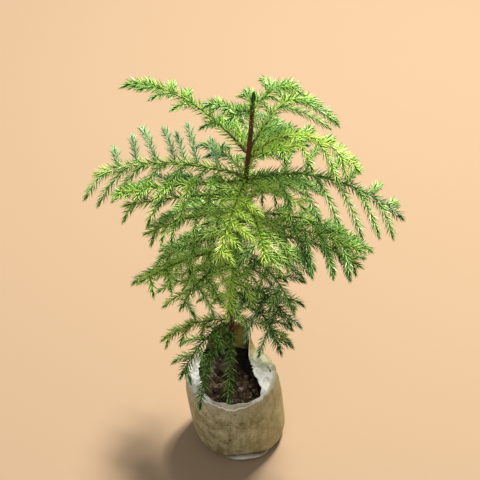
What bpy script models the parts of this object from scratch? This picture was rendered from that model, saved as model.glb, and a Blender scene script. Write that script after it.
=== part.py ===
"""A young Norfolk Island pine in a plastic nursery grow bag.

The origin is the middle of the bag's flat underside, +Z is up and -Y is the front. Every bough leaves the
trunk at its own height and compass angle, rises, and droops along a parabola. A bough of some length is a
bare limb near the trunk, and the rest of it is a mass of foliage: one stem with side shoots, each a slim core
that needles stand out of.
"""

import math
import random
from collections import namedtuple

import bmesh
import bpy
from mathutils import Vector
from mathutils.bvhtree import BVHTree

MM = 0.001
UP = Vector((0.0, 0.0, 1.0))

# Clearance between pieces that meet, and the wider one between foliage and anything it grows past
SEAT_GAP = 0.3 * MM
LEAF_GAP = 0.35 * MM

# Trunk: a vertical foot with a root flare, then a gentle S-shaped lean towards +X
SOIL_LEVEL = 69.0 * MM
TRUNK_TOP = 411.0 * MM
FOOT_X = -7.2 * MM
LEAN = 21.0 * MM
LEAN_FROM = 125.0 * MM
LEAN_TO = 470.0 * MM
FOOT_RADIUS = 3.1 * MM
TOP_RADIUS = 1.9 * MM
FLARE_RADIUS = 1.6 * MM
FLARE_HEIGHT = 9.0 * MM
TRUNK_STEPS = 20
BUD_LENGTH = 12.0 * MM
BUD_RADIUS = 2.2 * MM

# Boughs: share of a long bough that is bare limb, radius at the trunk as a share of the reach, and taper
LONG_BOUGH = 95.0 * MM
LIMB_SHARE = 0.17
LIMB_STEPS = 4
LIMB_SLIMNESS = 0.013
LIMB_LEAST_RADIUS = 0.75 * MM
LIMB_TAPER = 0.72

# Side shoots: spacing on each side of a bough, the stretch that bears them, and how they leave it
SEED = 7
SHOOT_SPACING = 20.0 * MM
SHOOTS_FROM = 0.12
SHOOTS_TO = 0.94
SHOOT_ANGLE = 74.0
SHOOT_CLOSING = 22.0
SHOOT_SHORTEST = 15.0 * MM
YOUNG_HEIGHT = 320.0 * MM
YOUNG_SINK, OLD_SINK = 0.46, 0.66

# Sprays of needles: how far they stand out sideways and up or down, and how far forward they lean
NEEDLE_SPREAD = 5.6 * MM
NEEDLE_RISE = 3.3 * MM
NEEDLE_LEAN = 4.0 * MM
CORE_WIDTH = 0.9 * MM
TEETH_SPACING = 15.0 * MM
TIP_NARROWING = 0.45
BARE_ROOT = 5.0 * MM
FULL_SHOOT = 60.0 * MM

# Grow bag of polythene film: wall, mouth and the film that stands up behind the trunk
FILM = 1.2 * MM
BAG_SIDES = 32
SHOULDER = 79.0 * MM
FOLD_STEPS = (0.4, 0.75, 1.0)
# Height, radius and sideways shift of the middle at each level of the wall, in mm
BAG_LEVELS = (
    (0.0, 37.0, 2.0),
    (1.0, 41.0, 1.8),
    (6.0, 45.2, 1.0),
    (18.0, 47.2, -0.5),
    (38.0, 47.8, -3.0),
    (60.0, 47.4, -5.6),
    (79.0, 46.4, -7.8),
)
# Film folded in from the shoulder all round, and the lobes where it is folded wider or stands higher: compass
# angle and half width of the lobe in degrees, how much wider the fold is, and how much higher its edge
FOLD_WIDTH = 2.0 * MM
FOLD_RISE = 4.0 * MM
RIGHT_LOBE = (14.0, 48.0, 22.0 * MM, 4.0 * MM)
LEFT_LOBE = (182.0, 50.0, 11.0 * MM, 3.0 * MM)
BACK_LOBE = (89.0, 34.0, -3.0 * MM, 25.0 * MM)
CREASES = 0.010

# Soil plug inside the bag
SOIL_INSET = 2.3 * MM
SOIL_FLOOR = 1.5 * MM
SOIL_FLOOR_REACH = 18.0 * MM
SOIL_PAD = 6.0 * MM
SOIL_BANK = 8.0 * MM
BACK_REACH = 45.0 * MM
SOIL_RINGS = (0.82, 0.64, 0.46, 0.3, 0.14)
CLODS = 26
CLOD_HEIGHT = 4.5 * MM

Bough = namedtuple("Bough", "name height azimuth reach rise droop sweep spread tilt lift")

# One row for each bough: height on the trunk in mm, compass angle at the trunk (0 is +X, 90 is +Y), reach in
# mm, rise and droop as shares of the reach, sideways sweep in degrees, length of the longest side shoot as a
# share of the reach, how much higher the side shoots on the left grow than those on the right, and how
# steeply they all rise
BOUGH_ROWS = (
    ("whorl1_back_right", 404, 46, 52, 0.80, 0.90, -4, 0.34, -0.2, 0.2),
    ("whorl1_left", 399, 180, 37, 0.50, 0.30, -8, 0.38, 0.3, 0.3),
    ("whorl1_front_left", 403, 214, 25, 0.60, 0.66, 4, 0.32, 0.2, 0.4),
    ("whorl1_back_left", 406, 112, 20, 0.56, 0.60, -10, 0.38, -0.1, 0.4),
    ("whorl2_left", 358, 152, 114, 0.94, 0.62, 2, 0.26, 0.4, 0.3),
    ("whorl2_right", 355, 16, 96, 0.80, 1.08, -10, 0.36, 0.0, 0.0),
    ("whorl2_back_right", 361, 52, 108, 0.84, 1.04, 4, 0.42, 0.2, 0.2),
    ("whorl2_back_left", 361, 116, 56, 0.44, 0.60, -4, 0.34, 0.3, 0.4),
    ("whorl2_front_right", 353, 340, 41, 0.66, 0.28, 12, 0.38, -0.1, 0.6),
    ("whorl3_left", 331, 178, 136, 0.38, 0.54, -10, 0.34, -0.3, 0.4),
    ("whorl3_right", 327, 6, 140, 0.28, 0.66, -2, 0.34, 0.2, 0.2),
    ("whorl3_back_left", 335, 134, 56, 0.32, 0.42, -6, 0.38, 0.3, 0.3),
    ("whorl3_back", 334, 72, 104, 0.34, 0.56, 0, 0.40, 0.2, 0.5),
    ("whorl3_front_left", 325, 198, 114, 0.22, 0.20, -8, 0.30, 0.4, 0.4),
    ("whorl3_front_right", 323, 338, 54, 0.24, 0.52, 2, 0.40, 0.2, 0.3),
    ("whorl3_front", 326, 256, 76, 0.22, 0.60, -4, 0.40, 0.0, 0.6),
    ("whorl4_left", 310, 202, 104, 0.34, 0.32, -12, 0.34, -0.2, 0.6),
    ("whorl4_front_left", 290, 205, 87, 0.38, 0.36, -4, 0.34, 0.2, 0.4),
    ("whorl4_right", 286, 2, 107, 0.14, 0.46, -4, 0.42, -0.1, 0.1),
    ("whorl4_front_right", 279, 346, 112, 0.14, 0.20, -4, 0.40, -0.1, 0.1),
    ("whorl4_back", 294, 62, 112, 0.20, 0.70, -2, 0.42, -0.2, 0.4),
    ("whorl4_front", 301, 292, 75, 0.36, 0.42, -8, 0.42, -0.1, 0.0),
    ("whorl5_left", 266, 208, 73, 0.30, 0.36, -4, 0.42, 0.1, 0.2),
    ("whorl5_right", 261, 347, 110, 0.36, 0.46, -2, 0.36, -0.1, 0.6),
    ("whorl5_front_left", 248, 208, 104, 0.24, 0.12, 8, 0.32, 0.3, 0.1),
    ("whorl5_front_right", 240, 324, 76, 0.28, 0.52, -14, 0.32, 0.2, 0.4),
    ("whorl5_back", 249, 118, 112, 0.30, 0.58, -6, 0.42, -0.1, 0.3),
    ("whorl5_front", 255, 263, 74, 0.22, 0.54, 0, 0.32, -0.2, 0.2),
    ("whorl6_front_left", 229, 226, 88, 0.50, 0.34, 12, 0.40, 0.1, 0.3),
    ("whorl6_right", 202, 326, 80, 0.42, 0.32, -18, 0.30, -0.1, 0.2),
    ("whorl6_front_right", 193, 311, 80, 0.36, 0.50, -10, 0.30, 0.3, 0.1),
    ("whorl6_back_right", 205, 37, 88, 0.46, 0.72, 4, 0.42, 0.0, 0.4),
    ("whorl6_back_left", 217, 140, 91, 0.22, 0.55, -6, 0.42, -0.4, 0.2),
    ("whorl7_left", 155, 190, 63, 0.30, 0.58, -2, 0.36, 0.4, 0.1),
    ("whorl7_front_left", 151, 226, 76, 0.40, 0.50, 8, 0.28, 0.0, 0.3),
    ("whorl7_front_long", 143, 244, 100, 0.46, 0.50, 10, 0.00, 0.0, 0.3),
    ("whorl7_front", 140, 268, 71, 0.16, 0.42, 0, 0.00, 0.0, 0.3),
    ("whorl7_right", 157, 348, 53, 0.16, 0.54, 0, 0.26, -0.2, 0.4),
    ("whorl7_back_left", 166, 138, 61, 0.38, 0.38, -8, 0.26, 0.0, 0.4),
    ("whorl7_back", 154, 62, 58, 0.26, 0.60, 2, 0.34, -0.2, 0.4),
)


def clear_scene():
    """Removes whatever objects the scene starts with."""
    for item in list(bpy.data.objects):
        bpy.data.objects.remove(item, do_unlink=True)


def new_material(name, color, roughness, metallic=0.0):
    """A Principled material with one colour."""
    material = bpy.data.materials.new(name)
    material.use_nodes = True
    shader = material.node_tree.nodes["Principled BSDF"]
    shader.inputs["Base Color"].default_value = (*color, 1.0)
    shader.inputs["Roughness"].default_value = roughness
    shader.inputs["Metallic"].default_value = metallic
    material.diffuse_color = (*color, 1.0)
    return material


def smooth_step(value):
    """Runs from 0 to 1 with no corner at either end."""
    value = min(max(value, 0.0), 1.0)
    return value * value * (3.0 - 2.0 * value)


def trunk_axis(height):
    """The middle of the trunk at a height."""
    share = smooth_step((height - LEAN_FROM) / (LEAN_TO - LEAN_FROM))
    return Vector((FOOT_X + LEAN * share, 0.0, height))


def trunk_radius(height):
    """The trunk's taper, with the root flare just above the cut."""
    share = (height - SOIL_LEVEL) / (TRUNK_TOP - SOIL_LEVEL)
    flare = FLARE_RADIUS * math.exp(-(height - SOIL_LEVEL) / FLARE_HEIGHT)
    return FOOT_RADIUS + (TOP_RADIUS - FOOT_RADIUS) * share + flare


def bough_from_row(row):
    """A bough with its lengths in metres."""
    bough = Bough(*row)
    return bough._replace(height=bough.height * MM, reach=bough.reach * MM)


def root_out(bough):
    """How far from the trunk's middle a bough begins, so that its slanting end face stays just clear."""
    slant = bough.rise / math.hypot(1.0, bough.rise)
    return trunk_radius(bough.height) + SEAT_GAP + bough_radius(bough, 0.0) * slant


def bough_point(bough, share):
    """The point at a share of the bough's reach: out from the trunk, up by its rise and down by its droop."""
    angle = math.radians(bough.azimuth + bough.sweep * share)
    out = root_out(bough) + bough.reach * share
    lift = bough.reach * (bough.rise * share - bough.droop * share * share)
    return trunk_axis(bough.height) + Vector((out * math.cos(angle), out * math.sin(angle), lift))


def bough_direction(bough, share):
    """The bough's direction at a share of its reach."""
    step = 0.01
    return (bough_point(bough, share + step) - bough_point(bough, share - step)).normalized()


def bough_radius(bough, share):
    """The bough's taper from the trunk to its tip."""
    thick = max(LIMB_SLIMNESS * bough.reach, LIMB_LEAST_RADIUS)
    return thick * (1.0 - LIMB_TAPER * share)


def limb_share(bough):
    """The share of a bough that is bare limb; a short bough has none."""
    return LIMB_SHARE if bough.reach >= LONG_BOUGH else 0.0


def shoot_size(share):
    """Length of a side shoot, as a share of the longest: largest at the bough's middle, least at its tip."""
    return min(0.45 + 1.4 * share, 1.5 * (1.0 - share) + 0.4, 1.0)


def side_shoots(bough):
    """The side shoots of a bough, left and right in turn: root, direction, length, lift and sink of each."""
    draw = random.Random(f"{SEED}-{bough.name}")
    sink = YOUNG_SINK if bough.height > YOUNG_HEIGHT else OLD_SINK
    count = 2 * max(2, round(bough.reach * (SHOOTS_TO - SHOOTS_FROM) / SHOOT_SPACING))
    shoots = []
    for index in range(count):
        side = 1.0 if index % 2 else -1.0
        place = (index + 0.5 + draw.uniform(-0.25, 0.25)) / count
        share = SHOOTS_FROM + (SHOOTS_TO - SHOOTS_FROM) * place
        length = bough.spread * bough.reach * shoot_size(share) * draw.uniform(0.88, 1.08)
        angle = math.radians(SHOOT_ANGLE - SHOOT_CLOSING * share + draw.uniform(-5.0, 5.0))
        lift = bough.lift + side * bough.tilt + draw.uniform(-0.06, 0.06)
        along = bough_direction(bough, share)
        across = UP.cross(along).normalized() * side
        direction = along * math.cos(angle) + across * math.sin(angle)
        shoots.append((bough_point(bough, share), direction, length, lift, sink))
    return shoots


def shoot_point(shoot, share):
    """The point at a share of a side shoot's length."""
    root, direction, length, lift, sink = shoot
    return root + direction * (length * share) + UP * (length * (lift * share - sink * share * share))


def spray_mesh(stations, extra=0.0):
    """A slim core with needles standing out of it on four sides.

    A station is a point, a direction, the spread to the sides, the spread up and down, and how far the needle
    tips lean forward there. The last station is the tip, where the spray ends in a point.
    """
    mesh = bmesh.new()
    rings = []
    for point, along, spread, rise, lean in stations[:-1]:
        across = UP.cross(along).normalized()
        above = along.cross(across)
        reach_to = point + along * lean
        offsets = (across * (spread + extra), above * (rise + extra))
        corners = (offsets[0], offsets[1], -offsets[0], -offsets[1])
        rings.append([mesh.verts.new(reach_to + corner) for corner in corners])
    tip_point, tip_along = stations[-1][:2]
    tip = mesh.verts.new(tip_point + tip_along * extra)
    for low, high in zip(rings, rings[1:]):
        for side in range(4):
            after = (side + 1) % 4
            mesh.faces.new((low[side], low[after], high[after], high[side]))
    for side in range(4):
        mesh.faces.new((rings[-1][side], rings[-1][(side + 1) % 4], tip))
    mesh.faces.new(reversed(rings[0]))
    bmesh.ops.triangulate(mesh, faces=mesh.faces[:])
    bmesh.ops.recalc_face_normals(mesh, faces=mesh.faces[:])
    return mesh


def station_on(bough, share, size=0.0):
    """One station of a stem: bare core where the size is 0, and a ring of needles elsewhere."""
    core = bough_radius(bough, share)
    spread = max(core, NEEDLE_SPREAD * size)
    rise = core + NEEDLE_RISE * size
    return (bough_point(bough, share), bough_direction(bough, share), spread, rise, NEEDLE_LEAN * size)


def stem_stations(bough):
    """Stations along a mass's stem: bare at its root, then a ring of needles between each pair of notches."""
    start = limb_share(bough)
    if start:
        start += SEAT_GAP / bough.reach
        stations = [station_on(bough, start)]
    else:
        stations = [station_on(bough, start)]
        start = BARE_ROOT / bough.reach
        stations.append(station_on(bough, start))
    teeth = max(2, round(bough.reach * (1.0 - start) / TEETH_SPACING))
    for index in range(teeth):
        wide = start + (1.0 - start) * (index + 0.45) / teeth
        narrow = start + (1.0 - start) * (index + 0.95) / teeth
        stations.append(station_on(bough, wide, 1.0 - TIP_NARROWING * wide))
        if index < teeth - 1:
            stations.append(station_on(bough, narrow))
    stations.append((bough_point(bough, 1.0), bough_direction(bough, 1.0)))
    return stations


def shoot_stations(shoot, length_share):
    """Stations along a side shoot, with two rings of needles, up to a share of its full length.

    A row is a share of the length, the spread, the rise and the lean of the needles there.
    """
    size = min(1.0, 0.55 + shoot[2] * length_share / FULL_SHOOT)
    rows = (
        (0.00, CORE_WIDTH, CORE_WIDTH, 0.0),
        (0.32, NEEDLE_SPREAD * size, NEEDLE_RISE * size, NEEDLE_LEAN * size),
        (0.52, 1.5 * CORE_WIDTH, CORE_WIDTH, 0.0),
        (0.72, 0.85 * NEEDLE_SPREAD * size, 0.8 * NEEDLE_RISE * size, NEEDLE_LEAN * size),
        (1.00, 0.0, 0.0, 0.0),
    )
    stations = []
    for share, spread, rise, lean in rows:
        here = share * length_share
        ahead = shoot_point(shoot, here + 0.02) - shoot_point(shoot, here - 0.02)
        stations.append((shoot_point(shoot, here), ahead.normalized(), spread, rise, lean))
    return stations


def tree_of(mesh):
    """A search tree for testing whether two pieces touch."""
    return BVHTree.FromBMesh(mesh)


def object_tree(item):
    """The search tree of an object's finished surface, in world space."""
    mesh = bmesh.new()
    mesh.from_object(item, bpy.context.evaluated_depsgraph_get())
    mesh.transform(item.matrix_world)
    tree = tree_of(mesh)
    mesh.free()
    return tree


def add_object(name, mesh_data, collection, material=None):
    """Links a new object with its own material."""
    item = bpy.data.objects.new(name, mesh_data)
    collection.objects.link(item)
    if material is not None:
        mesh_data.materials.clear()
        mesh_data.materials.append(material)
    return item


def spray_object(name, mesh, collection, material=None):
    """An object from a spray's mesh, which is freed."""
    data = bpy.data.meshes.new(name)
    mesh.to_mesh(data)
    mesh.free()
    return add_object(name, data, collection, material)


def tube_object(name, points, radii, collection, material, resolution):
    """A tapering tube along points: a curve with a bevel and filled caps, then made a mesh and welded."""
    curve = bpy.data.curves.new(name + "_curve", "CURVE")
    curve.dimensions = "3D"
    curve.bevel_depth = 1.0
    curve.bevel_resolution = resolution
    curve.use_fill_caps = True
    spline = curve.splines.new("POLY")
    spline.points.add(len(points) - 1)
    for target, point, radius in zip(spline.points, points, radii):
        target.co = (*point, 1.0)
        target.radius = radius
    guide = bpy.data.objects.new(name + "_guide", curve)
    collection.objects.link(guide)
    graph = bpy.context.evaluated_depsgraph_get()
    data = bpy.data.meshes.new_from_object(guide.evaluated_get(graph))
    welded = bmesh.new()
    welded.from_mesh(data)
    bmesh.ops.remove_doubles(welded, verts=welded.verts[:], dist=0.00001)
    bmesh.ops.recalc_face_normals(welded, faces=welded.faces[:])
    welded.to_mesh(data)
    welded.free()
    data.name = name
    item = add_object(name, data, collection, material)
    item.matrix_world = guide.matrix_world
    bpy.data.objects.remove(guide, do_unlink=True)
    bpy.data.curves.remove(curve)
    data.shade_smooth()
    data.set_sharp_from_angle(angle=math.radians(50.0))
    return item


def make_trunk(collection, material):
    """The trunk, whole from its flat cut on the soil to the foot of the terminal bud."""
    base = SOIL_LEVEL + SEAT_GAP
    heights = [base + 0.35 * FLARE_HEIGHT * step for step in range(5)]
    left = TRUNK_TOP - heights[-1]
    heights += [heights[-1] + left * step / TRUNK_STEPS for step in range(1, TRUNK_STEPS + 1)]
    points = [trunk_axis(height) for height in heights]
    radii = [trunk_radius(height) for height in heights]
    return tube_object("trunk", points, radii, collection, material, 2)


def make_terminal_bud(collection, material):
    """The closed pointed bud that tops the trunk, turned from a profile."""
    profile = ((0.0, 1.0), (0.45, 0.78), (0.85, 0.45), (1.0, 0.2), (0.8, 0.0), (0.0, 0.0))
    data = bpy.data.meshes.new("terminal_bud")
    points = [(radius * BUD_RADIUS, 0.0, height * BUD_LENGTH) for radius, height in profile]
    edges = [(index, index + 1) for index in range(len(points) - 1)]
    data.from_pydata(points, edges, [])
    bud = add_object("terminal_bud", data, collection, material)
    turn = bud.modifiers.new("turn", "SCREW")
    turn.angle = math.tau
    turn.steps = 10
    turn.render_steps = 10
    turn.use_merge_vertices = True
    turn.merge_threshold = 0.00001
    turn.use_normal_calculate = True
    upward = (trunk_axis(TRUNK_TOP) - trunk_axis(TRUNK_TOP - 10.0 * MM)).normalized()
    bud.rotation_euler = UP.rotation_difference(upward).to_euler()
    bud.location = trunk_axis(TRUNK_TOP) + upward * SEAT_GAP
    return bud


def make_limb(bough, collection, material):
    """The bare part of a long bough, from the trunk to where its foliage begins."""
    shares = [limb_share(bough) * step / LIMB_STEPS for step in range(LIMB_STEPS + 1)]
    points = [bough_point(bough, share) for share in shares]
    radii = [bough_radius(bough, share) for share in shares]
    return tube_object(f"bough_{bough.name}", points, radii, collection, material, 1)


def fits(mesh, others):
    """Whether a spray stays clear of every piece that is already there."""
    tree = tree_of(mesh)
    return not any(tree.overlap(other) for other in others)


def grow_shoots(bough, others, working):
    """Objects for the side shoots of one mass; one that would touch something is cut back or skipped."""
    grown = []
    for index, shoot in enumerate(side_shoots(bough)):
        for length_share in (1.0, 0.8, 0.6):
            if shoot[2] * length_share < SHOOT_SHORTEST:
                break
            stations = shoot_stations(shoot, length_share)
            test = spray_mesh(stations, LEAF_GAP)
            clear = fits(test, others)
            test.free()
            if clear:
                grown.append(spray_object(f"shoot_{index}", spray_mesh(stations), working))
                break
    return grown


def join_mass(stem, shoots, working):
    """Fuses the side shoots on to their stem with one union, and takes the loose pieces away."""
    if not shoots:
        return
    union = stem.modifiers.new("union", "BOOLEAN")
    union.operation = "UNION"
    union.operand_type = "COLLECTION"
    union.collection = working
    union.solver = "EXACT"
    graph = bpy.context.evaluated_depsgraph_get()
    joined = bpy.data.meshes.new_from_object(stem.evaluated_get(graph))
    stem.modifiers.clear()
    old = stem.data
    keep_largest(joined)
    joined.materials.clear()
    joined.materials.append(old.materials[0])
    stem.data = joined
    joined.name = old.name
    for shoot in shoots:
        data = shoot.data
        bpy.data.objects.remove(shoot, do_unlink=True)
        bpy.data.meshes.remove(data)


def keep_largest(data):
    """Welds a mesh, drops loose scraps beside its largest body, and makes it triangles."""
    mesh = bmesh.new()
    mesh.from_mesh(data)
    bmesh.ops.remove_doubles(mesh, verts=mesh.verts[:], dist=0.000002)
    bmesh.ops.dissolve_degenerate(mesh, edges=mesh.edges[:], dist=0.000002)
    seen = set()
    bodies = []
    for vert in mesh.verts:
        if vert in seen:
            continue
        body = []
        queue = [vert]
        seen.add(vert)
        while queue:
            here = queue.pop()
            body.append(here)
            for edge in here.link_edges:
                other = edge.other_vert(here)
                if other not in seen:
                    seen.add(other)
                    queue.append(other)
        bodies.append(body)
    bodies.sort(key=len)
    for scrap in bodies[:-1]:
        bmesh.ops.delete(mesh, geom=scrap, context="VERTS")
    bmesh.ops.triangulate(mesh, faces=mesh.faces[:])
    mesh.to_mesh(data)
    mesh.free()


def lobe_share(angle, lobe):
    """How strongly a lobe of the film is felt at an angle: 1 on its broad middle, 0 well away from it."""
    away = (math.degrees(angle) - lobe[0] + 180.0) % 360.0 - 180.0
    return math.exp(-((away / lobe[1]) ** 4))


def fold_size(angle):
    """The width of the fold and the height of its edge at an angle."""
    width, rise = FOLD_WIDTH, FOLD_RISE
    for lobe in (RIGHT_LOBE, LEFT_LOBE, BACK_LOBE):
        share = lobe_share(angle, lobe)
        width += lobe[2] * share
        rise += lobe[3] * share
    return width, rise


def crease(angle, height):
    """The shallow vertical creases of the film, as a change of radius that fades out at the base."""
    fade = smooth_step(height / SHOULDER)
    wave = math.sin(5.0 * angle + 0.8) + 0.6 * math.sin(9.0 * angle + 30.0 * height)
    return 1.0 + CREASES * fade * wave


def level_at(height):
    """The bag's radius and shift at a height between two of its levels, as a level."""
    for low, high in zip(BAG_LEVELS, BAG_LEVELS[1:]):
        if low[0] * MM <= height <= high[0] * MM:
            share = (height / MM - low[0]) / (high[0] - low[0])
            return tuple(a + (b - a) * share for a, b in zip(low, high))
    return BAG_LEVELS[-1]


def bag_wall(level, angle, inset=0.0):
    """A point of the bag's wall at one of its levels."""
    height, radius, shift = (value * MM for value in level)
    out = (radius - inset) * crease(angle, height)
    return Vector((shift + out * math.cos(angle), out * math.sin(angle), height))


def bag_fold(share, angle):
    """A point of the film folded in from the shoulder towards the mouth, or standing up behind."""
    shoulder = bag_wall(BAG_LEVELS[-1], angle)
    inward = Vector((-math.cos(angle), -math.sin(angle), 0.0))
    width, rise = fold_size(angle)
    bulge = math.sin(math.radians(90.0) * share)
    return shoulder + inward * (width * share) + UP * (rise * bulge)


def make_bag(collection, material):
    """The film bag: an open surface from its flat base to the edge of its mouth, with a wall thickness."""
    angles = [math.tau * step / BAG_SIDES for step in range(BAG_SIDES)]
    mesh = bmesh.new()
    rings = []
    for level in BAG_LEVELS:
        rings.append([mesh.verts.new(bag_wall(level, angle)) for angle in angles])
    for share in FOLD_STEPS:
        rings.append([mesh.verts.new(bag_fold(share, angle)) for angle in angles])
    mesh.faces.new(reversed(rings[0]))
    for low, high in zip(rings, rings[1:]):
        for side in range(BAG_SIDES):
            after = (side + 1) % BAG_SIDES
            mesh.faces.new((low[side], low[after], high[after], high[side]))
    bmesh.ops.recalc_face_normals(mesh, faces=mesh.faces[:])
    data = bpy.data.meshes.new("grow_bag")
    mesh.to_mesh(data)
    mesh.free()
    bag = add_object("grow_bag", data, collection, material)
    wall = bag.modifiers.new("film", "SOLIDIFY")
    wall.thickness = FILM
    wall.offset = -1.0
    data.shade_smooth()
    return bag


def clod_list():
    """Places, widths and heights of the clods on the soil."""
    draw = random.Random(SEED)
    clods = []
    for _ in range(CLODS):
        angle = draw.uniform(0.0, math.tau)
        out = 38.0 * MM * math.sqrt(draw.random())
        width = draw.uniform(4.0, 8.0) * MM
        rise = draw.uniform(0.3, 1.0) * CLOD_HEIGHT
        clods.append((FOOT_X + out * math.cos(angle), out * math.sin(angle), width, rise))
    return clods


def soil_bank(y):
    """How much higher the soil lies towards the back of the bag."""
    return SOIL_BANK * smooth_step(y / BACK_REACH)


def soil_height(x, y, clods):
    """The lumpy top of the soil, level where the trunk stands."""
    height = SOIL_LEVEL + soil_bank(y)
    for place_x, place_y, width, rise in clods:
        away = math.hypot(x - place_x, y - place_y) / width
        height += rise * math.exp(-away * away)
    calm = smooth_step((math.hypot(x - FOOT_X, y) - SOIL_PAD) / SOIL_PAD)
    return SOIL_LEVEL + (min(height, SHOULDER - FILM) - SOIL_LEVEL) * calm


def make_soil(collection, material):
    """The plug of soil: it fills the bag, just clear of the film, and its top is lumpy."""
    clods = clod_list()
    angles = [math.tau * step / BAG_SIDES for step in range(BAG_SIDES)]
    mesh = bmesh.new()
    rings = []
    for level in BAG_LEVELS[:-1]:
        lift = UP * max(0.0, SOIL_FLOOR * (1.0 - level[0] * MM / SOIL_FLOOR_REACH))
        rings.append([mesh.verts.new(bag_wall(level, angle, SOIL_INSET) + lift) for angle in angles])
    rim = [bag_wall(level_at(SOIL_LEVEL), angle, SOIL_INSET) for angle in angles]
    rings.append([mesh.verts.new(point + UP * soil_bank(point.y)) for point in rim])
    middle = Vector((FOOT_X, 0.0, 0.0))
    for share in SOIL_RINGS:
        ring = []
        for point in rim:
            spot = middle + (point - middle) * share
            spot.z = soil_height(spot.x, spot.y, clods)
            ring.append(mesh.verts.new(spot))
        rings.append(ring)
    mesh.faces.new(reversed(rings[0]))
    mesh.faces.new(rings[-1])
    for low, high in zip(rings, rings[1:]):
        for side in range(BAG_SIDES):
            after = (side + 1) % BAG_SIDES
            mesh.faces.new((low[side], low[after], high[after], high[side]))
    bmesh.ops.triangulate(mesh, faces=mesh.faces[:])
    bmesh.ops.recalc_face_normals(mesh, faces=mesh.faces[:])
    data = bpy.data.meshes.new("soil")
    mesh.to_mesh(data)
    mesh.free()
    return add_object("soil", data, collection, material)


def make_foliage(boughs, solids, collection, material):
    """All masses of foliage: every stem first, then the side shoots, each kept clear of the other masses."""
    stems = {}
    trees = {}
    for bough in boughs:
        stations = stem_stations(bough)
        test = spray_mesh(stations, LEAF_GAP)
        for name, other in list(solids.items()) + list(trees.items()):
            if tree_of(test).overlap(other):
                print("stem", bough.name, "meets", name)
        test.free()
        mesh = spray_mesh(stations)
        trees[bough.name] = tree_of(mesh)
        stems[bough.name] = spray_object(f"foliage_{bough.name}", mesh, collection, material)
    for bough in boughs:
        working = bpy.data.collections.new(f"shoots_{bough.name}")
        bpy.context.scene.collection.children.link(working)
        others = list(solids.values()) + [tree for name, tree in trees.items() if name != bough.name]
        stem = stems[bough.name]
        shoots = grow_shoots(bough, others, working)
        wanted = len([shoot for shoot in side_shoots(bough) if shoot[2] >= SHOOT_SHORTEST])
        join_mass(stem, shoots, working)
        bpy.data.collections.remove(working)
        trees[bough.name] = object_tree(stem)
        print(stem.name, "shoots", len(shoots), "of", wanted, "triangles", len(stem.data.polygons))


def main():
    clear_scene()
    collection = bpy.data.collections.new("norfolk_island_pine")
    bpy.context.scene.collection.children.link(collection)
    bark = new_material("bark", (0.10, 0.045, 0.018), 0.85)
    green_bark = new_material("green_bark", (0.12, 0.10, 0.03), 0.8)
    needle = new_material("needle", (0.10, 0.24, 0.035), 0.5)
    bud_green = new_material("bud_green", (0.03, 0.09, 0.015), 0.5)
    film = new_material("dusty_film", (0.27, 0.24, 0.11), 0.45)
    earth = new_material("soil", (0.045, 0.032, 0.016), 0.95)

    boughs = [bough_from_row(row) for row in BOUGH_ROWS]
    solids = {
        "grow_bag": make_bag(collection, film),
        "soil": make_soil(collection, earth),
        "trunk": make_trunk(collection, bark),
        "terminal_bud": make_terminal_bud(collection, bud_green),
    }
    for bough in boughs:
        if limb_share(bough):
            limb = make_limb(bough, collection, green_bark)
            solids[limb.name] = limb
    bpy.context.view_layer.update()
    trees = {name: object_tree(item) for name, item in solids.items()}
    make_foliage(boughs, trees, collection, needle)


main()
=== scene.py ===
# %% [markdown]
# # A young norfolk island pine in a plastic grow bag
# The plant is an araucaria seedling about 42 cm high: one straight leader, seven loose whorls of boughs,
# and awl-shaped needles on every shoot. It stands in a small bag of soil made from dusty polythene film.
# The imported solids give the size and the place of everything. This script dresses them: a mesh with bark
# relief for the stems, real needles for the masses, a creased film for the bag, and crumbling soil.
#
# First the imported model is loaded. The dressed plant has to stay inside it.

# %% Load the imported model
import math
import random
from collections import namedtuple
from functools import partial

import bmesh
import bpy
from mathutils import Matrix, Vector, noise


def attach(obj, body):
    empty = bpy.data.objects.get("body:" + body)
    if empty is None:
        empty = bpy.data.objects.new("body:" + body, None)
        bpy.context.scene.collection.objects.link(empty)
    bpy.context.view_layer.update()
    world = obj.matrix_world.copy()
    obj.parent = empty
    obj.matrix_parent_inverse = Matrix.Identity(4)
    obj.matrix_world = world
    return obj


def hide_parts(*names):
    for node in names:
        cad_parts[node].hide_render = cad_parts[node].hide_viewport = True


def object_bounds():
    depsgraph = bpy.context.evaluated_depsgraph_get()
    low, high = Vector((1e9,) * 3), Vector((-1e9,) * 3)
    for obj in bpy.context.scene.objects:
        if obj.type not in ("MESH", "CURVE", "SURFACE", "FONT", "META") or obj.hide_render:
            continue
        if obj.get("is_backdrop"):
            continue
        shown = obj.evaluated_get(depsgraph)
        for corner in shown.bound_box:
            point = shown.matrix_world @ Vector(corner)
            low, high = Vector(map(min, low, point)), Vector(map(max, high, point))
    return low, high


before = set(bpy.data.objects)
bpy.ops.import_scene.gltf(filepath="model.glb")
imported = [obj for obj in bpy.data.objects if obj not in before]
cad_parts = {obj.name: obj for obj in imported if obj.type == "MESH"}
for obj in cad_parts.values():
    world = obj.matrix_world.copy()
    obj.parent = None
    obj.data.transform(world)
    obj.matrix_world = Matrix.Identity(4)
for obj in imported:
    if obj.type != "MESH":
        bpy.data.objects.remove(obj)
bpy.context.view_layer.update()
BODY = "root"
MM = 0.001
UP = Vector((0.0, 0.0, 1.0))

# %% [markdown]
# ## Camera, floor and light
# The picture looks down on the plant by 41 degrees from about a metre and a half, through a long lens, so
# that the leader is hardly foreshortened at its tip. The floor is plain and warm, as pale sand would be.
# The light is soft: a large panel high behind the plant, which lights the needles from above and leaves the
# near side of the bag in its own shade, a weaker panel in front, and a pale sky.


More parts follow.
